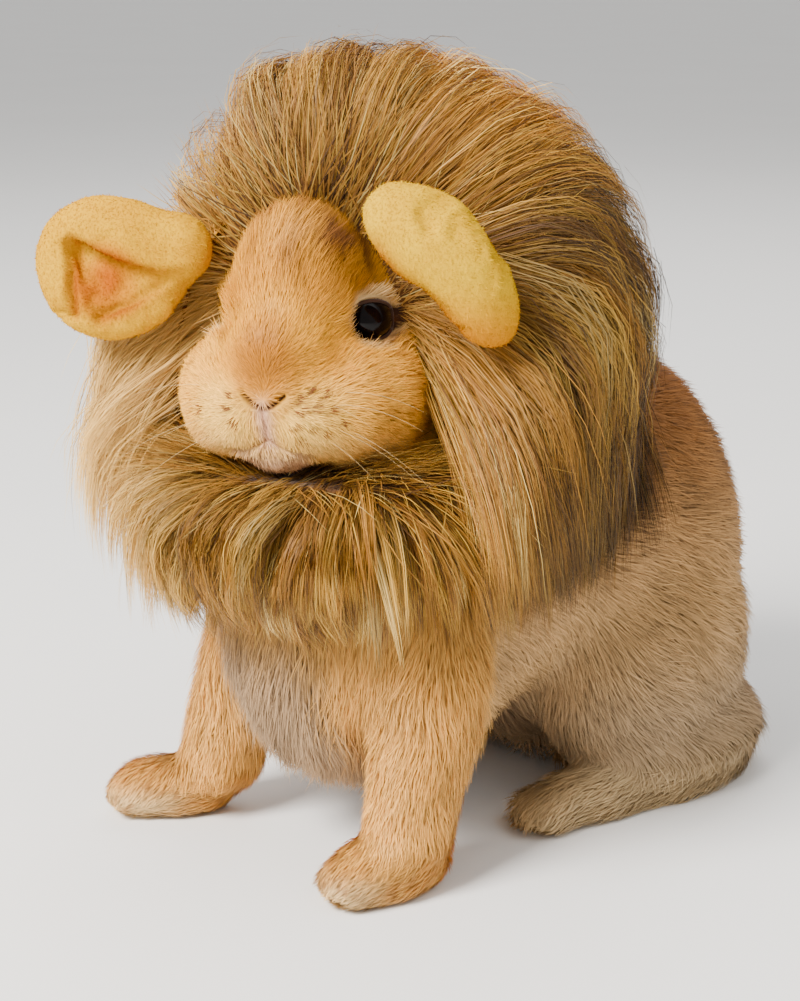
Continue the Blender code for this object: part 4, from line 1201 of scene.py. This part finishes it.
def grow_mane(hood_ground, trees, dice):
    """Locks of fine hair over the whole hood."""

    def density(points):
        offset = points - HOOD_POINT
        wall = smooth_step(-0.002, -0.007, hood_shell(points)[0])
        return 0.085 + 0.04 * rim_share(points) + 0.02 * smooth_step(0.0, -0.04, offset[:, 2]) + 0.10 * wall

    guides, normals, places, reach = mane_guides(hood_ground, trees, dice, density, LOCK_STEPS)
    per = STRANDS_A_LOCK
    locks = len(guides)
    points = MANE_POINTS
    line = curve_through(guides, points)
    strands = locks * per
    line = np.repeat(line, per, axis=0)
    up = np.repeat(normals, per, axis=0)
    where = np.repeat(places, per, axis=0)
    share = np.linspace(0, 1, points)[None, :]
    way = unit(line[:, -1] - line[:, 0])
    across = unit(np.cross(way, up))
    out = np.cross(across, way)
    below = smooth_step(0.0, -0.035, (guides[:, 0] - HOOD_POINT)[:, 2])
    spread = np.repeat(dice.uniform(4.0, 8.0, locks) * (1 - 0.45 * below), per) * MM
    turn = dice.uniform(0, 2 * math.pi, strands)
    off = np.sqrt(dice.random(strands)) * spread
    pinch = np.repeat(dice.uniform(0.25, 0.95, locks), per)[:, None]
    width_at = 1 - pinch * smooth_step(0.15, 1.0, share)
    fly = (dice.random(strands) < 0.10)[:, None] * smooth_step(0.3, 1.0, share) * 2.2
    width_at = width_at + fly
    wave = dice.uniform(0, 2 * math.pi, strands)[:, None]
    curl = np.sin(share * dice.uniform(2.5, 6.0, strands)[:, None] + wave) * smooth_step(0.2, 1, share)
    curl = curl * dice.uniform(0.2, 1.3, strands)[:, None] * MM
    sideways = (np.cos(turn) * off)[:, None] * width_at + curl
    outwards = (np.sin(turn) * off * 0.7)[:, None] * width_at + curl * 0.4
    path = line + across[:, None] * sideways[:, :, None] + out[:, None] * outwards[:, :, None]
    short = dice.uniform(0.72, 1.0, strands) * np.repeat(reach, per)
    steps = np.linspace(0, 1, points)
    cut = np.clip(short[:, None] * steps[None] * (points - 1), 0, points - 1.0001)
    low = cut.astype(int)
    part = (cut - low)[:, :, None]
    rows = np.arange(strands)[:, None]
    path = path[rows, low] * (1 - part) + path[rows, low + 1] * part
    width = dice.uniform(0.13, 0.29, strands) * MM
    roll = dice.normal(0, 0.5, strands)[:, None]
    face = unit(up * np.cos(roll) + across * np.sin(roll))
    taper = np.interp(np.arange(points - 1) / (points - 1), (0, 0.15, 0.6, 1), (0.6, 1.0, 0.85, 0.25))
    side = blade_sides(path, face, width, taper)
    colour = np.repeat(mane_colour(guides[:, 0], dice), per, axis=0)
    other = MANE_SHADES[dice.choice(5, strands, p=[0.40, 0.22, 0.22, 0.10, 0.06])]
    colour = mixed(colour, other, dice.uniform(0.0, 0.5, strands))
    colour = colour * dice.uniform(0.82, 1.18, strands)[:, None]
    # Darker roots: painted shade deep among the locks.
    root_colour = paint(colour * 0.8, (92, 62, 36), np.full(strands, 0.6))
    # Painted shade in the middle of the bib under the chin: darker roots, and some locks darker all along, as
    # dark gaps.
    centred = below * smooth_step(0.055, 0.025, np.abs((guides[:, 0] - HOOD_POINT) @ HOOD_LEFT))
    root_colour = root_colour * (1 - 0.5 * np.repeat(centred, per))[:, None]
    colour = colour * (1 - 0.45 * np.repeat(centred * (dice.random(locks) < 0.4), per))[:, None]
    tip_colour = colour * 1.2
    tips = path[:, -1] - HOOD_POINT
    left, high = tips @ HOOD_LEFT, tips[:, 2]
    # Paler tips and roots on the lower right: partly paler locks, partly painted light on the side the key
    # light falls on.
    pale = smooth_step(-0.015, -0.055, left) * smooth_step(0.030, -0.010, high)
    tip_colour = paint(tip_colour, (246, 216, 158), pale * 0.6)
    root_colour = paint(root_colour, (206, 168, 108), pale * 0.4)
    # Painted light on the upper left side.
    light = smooth_step(0.020, 0.050, left) * smooth_step(0.030, 0.055, high)
    tip_colour = tip_colour * (1 + 0.25 * light)[:, None]
    root_colour = root_colour * (1 + 0.25 * light)[:, None]
    # Painted shade along each strand on the left side, turned from the key light, lower down; it reaches the
    # blades as their tone.
    spots = path - HOOD_POINT
    shade = smooth_step(0.042, 0.068, spots @ HOOD_LEFT - 0.6 * (spots @ HOOD_AXIS))
    shade = shade * smooth_step(0.070, 0.045, spots[:, :, 2])
    tone = 1 - shade * np.repeat(dice.uniform(0.40, 0.80, locks), per)[:, None]
    q = (line[:, -1] - SHIFT) / MM
    dark = dice.random(strands) < 0.05 + 0.30 * smooth_step(20, 60, q[:, 1]) * smooth_step(-10, 30, q[:, 0])
    tip_colour[dark] = linear((58, 42, 32))
    keep = ~before_face(path[:, 2:].reshape(-1, 3)).reshape(strands, -1).any(axis=1)
    for tree in trees[1]:
        close = nearest(tree, guides.reshape(-1, 3))[1].reshape(locks, -1).min(axis=1) < 0.014
        rows = np.where(np.repeat(close, per))[0]
        keep[rows] &= clear_of_ear(tree, path[rows])
    colours = root_colour[keep], tip_colour[keep]
    add_blades("mane_hair", path[keep], side[keep], colours, where[keep], mane_hair, tone[keep])


def grow_undercoat(hood_ground, trees, dice):
    """Short dense hair on the hood's backing, which shows between the locks."""
    roots, normals, places = hood_ground.roots(dice, lambda points: np.full(len(points), 0.55))
    keep = ~within(trees[0], roots, 0.0003) & ~before_face(roots, 0.7)
    roots, normals, places = roots[keep], normals[keep], places[keep]
    count = len(roots)
    lie = along_surface(mane_lie(roots, normals) + dice.normal(0, 0.3, (count, 3)), normals)
    length = dice.uniform(0.016, 0.036, count)
    rise = dice.uniform(0.35, 0.8, count)
    path = bent_paths(roots, lie, normals, length, rise, rise * 0.45, 4)
    side = blade_sides(path, normals, dice.uniform(0.3, 0.55, count) * MM, (1.0, 0.9, 0.6))
    colour = mane_colour(roots, dice) * dice.uniform(0.55, 0.9, count)[:, None]
    keep = ~before_face(path[:, 2:].reshape(-1, 3), 0.9).reshape(count, -1).any(axis=1)
    colours = colour[keep] * 0.7, colour[keep]
    add_blades("mane_undercoat", path[keep], side[keep], colours, places[keep], mane_hair)


# The plush ears.

# Lines over the plush ears, as left and up in the head's frame: the left one's lower fold and the
# right one's crease.
EAR_FOLD = [(28, 31), (36, 22), (45, 11)]
EAR_CREASE = [(-69, 11), (-68, 32), (-57, 27.5), (-40, 21), (-52, 13), (-61, 9.5)]


def ear_colour(points, side):
    """Yellow fleece, with painted shade that makes it deeper and more orange low down, in the fold, along the
    edge that faces the head and in the crease.
    """
    p = in_head(points)
    patch = grain(points, 0.006, 61)
    if side > 0:
        colour = mixed(linear((255, 206, 4)), linear((255, 214, 8)), patch)
        # Painted shade: darker and more orange towards the bottom of the ear and along its lower fold, on the
        # edge that faces the head.
        low = smooth_step(30, 4, p[:, 2])
        colour = paint(colour, (246, 168, 10), low * 0.9)
        edge = distance_to_line(p[:, 1:3], EAR_FOLD)
        colour = paint(colour, (196, 112, 16), bell(edge, 5.5))
    else:
        colour = mixed(linear((255, 198, 4)), linear((255, 206, 8)), patch)
        # Painted shade in the ear's pocket and along its crease.
        fold = np.linalg.norm((p - np.array([18, -58, 20])) / np.array([9, 13, 13]), axis=1)
        colour = paint(colour, (214, 112, 6), smooth_step(1.2, 0.5, fold) * 0.95)
        crease = distance_to_line(p[:, 1:3], EAR_CREASE)
        front = smooth_step(8, 13, p[:, 0])
        colour = paint(colour, (176, 92, 12), bell(crease, 2.2) * 0.8 * front)
    return colour * (0.58 + 0.10 * patch)[:, None]


# The furthest that stuffing moves a point of a plush ear, in metres.
STUFFING_MOVE = 0.0016


def stuff(obj, most):
    """Blows a stuffed piece up a little with a short cloth simulation. No point moves further than most."""
    start = points_of(obj)
    cloth = obj.modifiers.new("stuffing", "CLOTH")
    cloth.settings.mass = 0.01
    cloth.settings.use_pressure = True
    cloth.settings.uniform_pressure_force = 4
    cloth.settings.shrink_min = -0.05
    cloth.settings.effector_weights.gravity = 0
    cloth.collision_settings.use_collision = False
    for frame in range(1, 16):
        bpy.context.scene.frame_set(frame)
    shaped = obj.evaluated_get(bpy.context.evaluated_depsgraph_get())
    moved = points_of(shaped) - start
    obj.modifiers.remove(cloth)
    bpy.context.scene.frame_set(1)
    far = np.linalg.norm(moved, axis=1, keepdims=True)
    set_points(obj, start + moved * np.minimum(1, most / np.maximum(far, 1e-9)))


def make_plush_ear(node, side, dice):
    """A stuffed ear: the solid's form made fine and soft, with a nap of short fleece all over."""
    ear = merged_copy(node + "_fleece", [node], 0.0)
    fuse(ear, 0.0014, 8)
    keep_largest(ear)
    points, normals = points_of(ear), normals_of(ear)
    lumps = grain(points, 0.010, 71) - 0.5
    points = points + normals * (lumps * 0.0010 - 0.0002)[:, None]
    p = in_head(points)
    if side < 0:
        near = distance_to_line(p[:, 1:3], EAR_CREASE)
        front = smooth_step(8, 13, p[:, 0])
        flap = distance_to_line(p[:, 1:3], [(-66, 36), (-54, 32), (-41, 27)])
        push = 1.4 * bell(flap, 5) - 2.0 * bell(near, 2.2)
        points = points + FORWARD * (push * front * MM)[:, None]
    set_points(ear, points)
    stuff(ear, STUFFING_MOVE)
    points = points_of(ear)
    ground = Ground(ear)
    set_colours(ear.data, "coat", ear_colour(points, side))
    ear.data.materials.append(plush)
    smooth(ear)
    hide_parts(node)
    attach(ear, "root")
    roots, ups, places = ground.roots(dice, lambda spots: np.full(len(spots), 2.4))
    count = len(roots)
    way = along_surface(dice.normal(0, 1, (count, 3)) - UP * 0.5, ups)
    length = dice.uniform(0.5, 1.1, count) * MM
    rise, fall = dice.uniform(0.3, 0.9, count), dice.uniform(0.0, 0.4, count)
    path = bent_paths(roots, way, ups, length, rise, fall, 3)
    blade_side = blade_sides(path, ups, dice.uniform(0.16, 0.28, count) * MM, (1.0, 0.8))
    colour = ear_colour(roots, side) * dice.uniform(0.92, 1.06, count)[:, None]
    colours = colour * 0.9, np.minimum(colour * 1.06, 1.0)
    add_blades(node + "_nap", path, blade_side, colours, places, plush_nap)
    return ear


# Eyes, lids, whiskers and the hem.


def make_eye(side):
    name = "eye_left" if side > 0 else "eye_right"
    centre, out, along, across = eye_frame(side)
    shape = {"segments": 64, "ring_count": 40, "radius": EYE_RADIUS * MM}
    eye = new_piece(bpy.ops.mesh.primitive_uv_sphere_add, **shape)
    eye.name = name + "_ball"
    turn = Matrix((along, across, out)).transposed().to_4x4()
    eye.data.transform(turn)
    points = points_of(eye)
    bulge = smooth_step(0.72, 1.0, unit(points) @ out)
    points = points * (1 + 0.035 * bulge)[:, None] + centre
    set_points(eye, points)
    smooth(eye)
    eye.data.materials.append(eye_finish(centre, out))
    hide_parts(name)
    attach(eye, "root")


def make_lid(side):
    """The dark rim of both lids, a thin ring that hugs the eyeball round its opening."""
    centre, out, along, across = eye_frame(side)
    shape = {"major_segments": 96, "minor_segments": 12, "major_radius": 1, "minor_radius": 0.1}
    lid = new_piece(bpy.ops.mesh.primitive_torus_add, **shape)
    lid.name = "lid_rim_left" if side > 0 else "lid_rim_right"
    points = points_of(lid)
    angle = np.arctan2(points[:, 1], points[:, 0])
    ring = np.stack([np.cos(angle), np.sin(angle), 0 * angle], axis=1)
    tube = (points - ring) / 0.1
    reach = lid_reach(angle) * 1.02
    flat = (along * np.cos(angle)[:, None] + across * np.sin(angle)[:, None]) * reach[:, None]
    depth = np.sqrt(np.maximum((EYE_RADIUS * 1.012) ** 2 - reach**2, 6.0))
    spoke = unit(flat + out * depth[:, None])
    middle = spoke * (EYE_RADIUS + 0.15)
    outward = unit(np.cross(spoke, np.cross(flat, spoke)))
    radial = np.sum(tube * ring, axis=1)
    points = middle + outward * (radial * LID_RIM)[:, None] + spoke * (tube[:, 2] * LID_RIM)[:, None]
    set_points(lid, centre + points * MM)
    only(lid)
    bpy.ops.object.mode_set(mode="EDIT")
    bpy.ops.mesh.select_all(action="SELECT")
    bpy.ops.mesh.normals_make_consistent(inside=False)
    bpy.ops.object.mode_set(mode="OBJECT")
    bpy.ops.object.shade_smooth()
    lid.data.materials.append(cloth_finish("lid_skin", (74, 48, 36), (40, 26, 20), 900.0, 0.45, 0.0001))
    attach(lid, "root")


def make_whisker_spots(tree, dice):
    """A tuft of short dark hair at every whisker spot."""
    centres = [at_head(f, left, up) for f, left, up in WHISKER_SPOTS]
    centres += [at_head(f, -left, up) for f, left, up in WHISKER_SPOTS[::3]]
    centres = np.repeat(np.array(centres), 16, axis=0) + dice.normal(0, 0.55, (len(centres) * 16, 3)) * MM
    heights, _, normals = nearest(tree, centres)
    roots = centres - normals * heights[:, None]
    count = len(roots)
    way = along_surface(short_lie(roots, normals) + dice.normal(0, 0.15, (count, 3)), normals)
    length = dice.uniform(1.6, 3.0, count) * MM
    path = bent_paths(roots, way, normals, length, np.full(count, 0.62), np.full(count, 0.25), 3)
    side = blade_sides(path, normals, dice.uniform(0.16, 0.26, count) * MM, (1.0, 0.75))
    colour = np.tile(linear((110, 66, 32)), (count, 1)) * dice.uniform(0.7, 1.3, count)[:, None]
    places = np.full((count, 2), 0.5)
    add_blades("whisker_spots", path, side, (colour, colour), places, short_hair)


def make_whiskers(dice):
    """Long stiff hairs from the whisker spots."""
    roots, ways, lengths = [], [], []
    for side in (-1, 1):
        for f, left, up in WHISKER_SPOTS[::2]:
            roots.append(at_head(f - 3.5, left * side, up))
            spread = dice.normal(0, 0.12, 3)
            ways.append(FORWARD * 0.15 + LEFT * side * 1.0 + UP * (0.05 + (up + 10) * 0.04) + spread)
            lengths.append(dice.uniform(0.022, 0.040))
    roots, ways, lengths = np.array(roots), unit(np.array(ways)), np.array(lengths)
    share = np.linspace(0, 1, 8)[None, :, None]
    sag = -UP * share**2 * lengths[:, None, None] * 0.35
    path = roots[:, None] + ways[:, None] * share * lengths[:, None, None] + sag
    facing = np.tile(FORWARD, (len(roots), 1))
    side = blade_sides(path, facing, np.full(len(roots), 0.10 * MM), np.linspace(1, 0.35, 7))
    colour = np.tile(linear((226, 200, 160)), (len(roots), 1))
    places = np.full((len(roots), 2), 0.5)
    add_blades("whiskers", path, side, (colour * 0.8, colour), places, short_hair)


def make_hem():
    """The hood's knitted edge band."""
    hem = merged_copy("hood_hem_band", ["hood_hem"], 0.0)
    fuse(hem, 0.0011, 5)
    keep_largest(hem)
    smooth(hem)
    hem.data.materials.append(cloth_finish("hem_knit", (196, 146, 62), (120, 84, 34), 800.0, 0.9, 0.0005))
    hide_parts("hood_hem")
    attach(hem, "root")


# Stage, camera and light.


def make_stage():
    floor = new_piece(bpy.ops.mesh.primitive_plane_add, size=60)
    floor.name = "studio_floor"
    finish = Finish("studio_floor", roughness=0.7, specular_ior_level=0.2)
    cloud = finish.noise(3.0, 2.0)
    finish.feed("Base Color", finish.mix(cloud, grey(0.88), grey(0.92)))
    floor.data.materials.append(finish.material)
    world = bpy.data.worlds.new("studio_air")
    world.use_nodes = True
    world.node_tree.nodes["Background"].inputs["Color"].default_value = (1.0, 0.985, 0.96, 1.0)
    world.node_tree.nodes["Background"].inputs["Strength"].default_value = 0.74
    bpy.context.scene.world = world


def toward(azimuth, elevation):
    a, e = math.radians(azimuth), math.radians(elevation)
    return np.array([math.sin(a) * math.cos(e), -math.cos(a) * math.cos(e), math.sin(e)])


def aim(obj, place, target):
    obj.location = Vector(place)
    obj.rotation_mode = "QUATERNION"
    obj.rotation_quaternion = (Vector(target) - Vector(place)).to_track_quat("-Z", "Y")


# The photograph's view: the side and height it is taken from in degrees, the way off, the lens.
PHOTO_SIDE = (45, 15)
PHOTO_DISTANCE = 0.62
PHOTO_LENS = 72.5
PHOTO_MIDDLE = (0.021, 0.0, 0.115)
# Each lamp's name, azimuth, elevation, distance, size, power and tint.
LAMPS = (
    ("key_softbox", -2, 42, 1.5, 0.6, 62.0, (1.0, 0.95, 0.88)),
    ("fill_softbox", 100, 62, 1.8, 1.2, 7.0, (1.0, 0.97, 0.92)),
    ("back_softbox", 215, 50, 1.8, 1.0, 12.0, (1.0, 0.98, 0.95)),
)
LAMPS_AIM = (0.0, -0.02, 0.12)


def make_camera():
    data = bpy.data.cameras.new("photo_camera")
    data.sensor_fit = "VERTICAL"
    data.sensor_height = 36.0
    data.lens = PHOTO_LENS
    camera = bpy.data.objects.new("photo_camera", data)
    bpy.context.scene.collection.objects.link(camera)
    target = np.array(PHOTO_MIDDLE) + SHIFT
    aim(camera, target + toward(*PHOTO_SIDE) * PHOTO_DISTANCE, target)
    bpy.context.scene.camera = camera


def make_lights():
    middle = np.array(LAMPS_AIM)
    for name, azimuth, elevation, distance, size, power, tint in LAMPS:
        data = bpy.data.lights.new(name, "AREA")
        data.size = size
        data.energy = power
        data.color = tint
        lamp = bpy.data.objects.new(name, data)
        bpy.context.scene.collection.objects.link(lamp)
        aim(lamp, middle + toward(azimuth, elevation) * distance, middle)


dice = np.random.default_rng(20)
make_camera()
make_lights()
make_stage()

short_hair = hair_finish("short_hair", 0.62, 0.3, 0.25)
mane_hair = hair_finish("mane_hair", 0.58, 0.25, 0.18)
plush = plush_finish()
plush_nap = hair_finish("plush_nap", 0.95, 0.05, 0.1)

skin = make_skin()
skin_ground = Ground(skin)
set_colours(skin.data, "coat", coat_colour(points_of(skin)) * 0.78)
skin.data.materials.append(skin_finish())
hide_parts(*FLESH)
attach(skin, "root")
skin_tree = tree_of(skin)

hood = make_hood_body()
hood_ground = Ground(hood)
hood.data.materials.append(cloth_finish("hood_backing", (112, 78, 46), (60, 40, 24), 500.0, 0.95, 0.0006))
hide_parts(*MANE)
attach(hood, "root")

for side in (-1, 1):
    make_eye(side)
    make_lid(side)

ear_trees = []
for side, node in ((1, "plush_ear_left"), (-1, "plush_ear_right")):
    ear_trees.append(tree_of(make_plush_ear(node, side, dice)))

make_hem()
make_whisker_spots(skin_tree, dice)
make_whiskers(dice)
trees = (skin_tree, ear_trees)
grow_mane(hood_ground, trees, dice)
grow_undercoat(hood_ground, trees, dice)
grow_short_coat(skin_ground, dice)
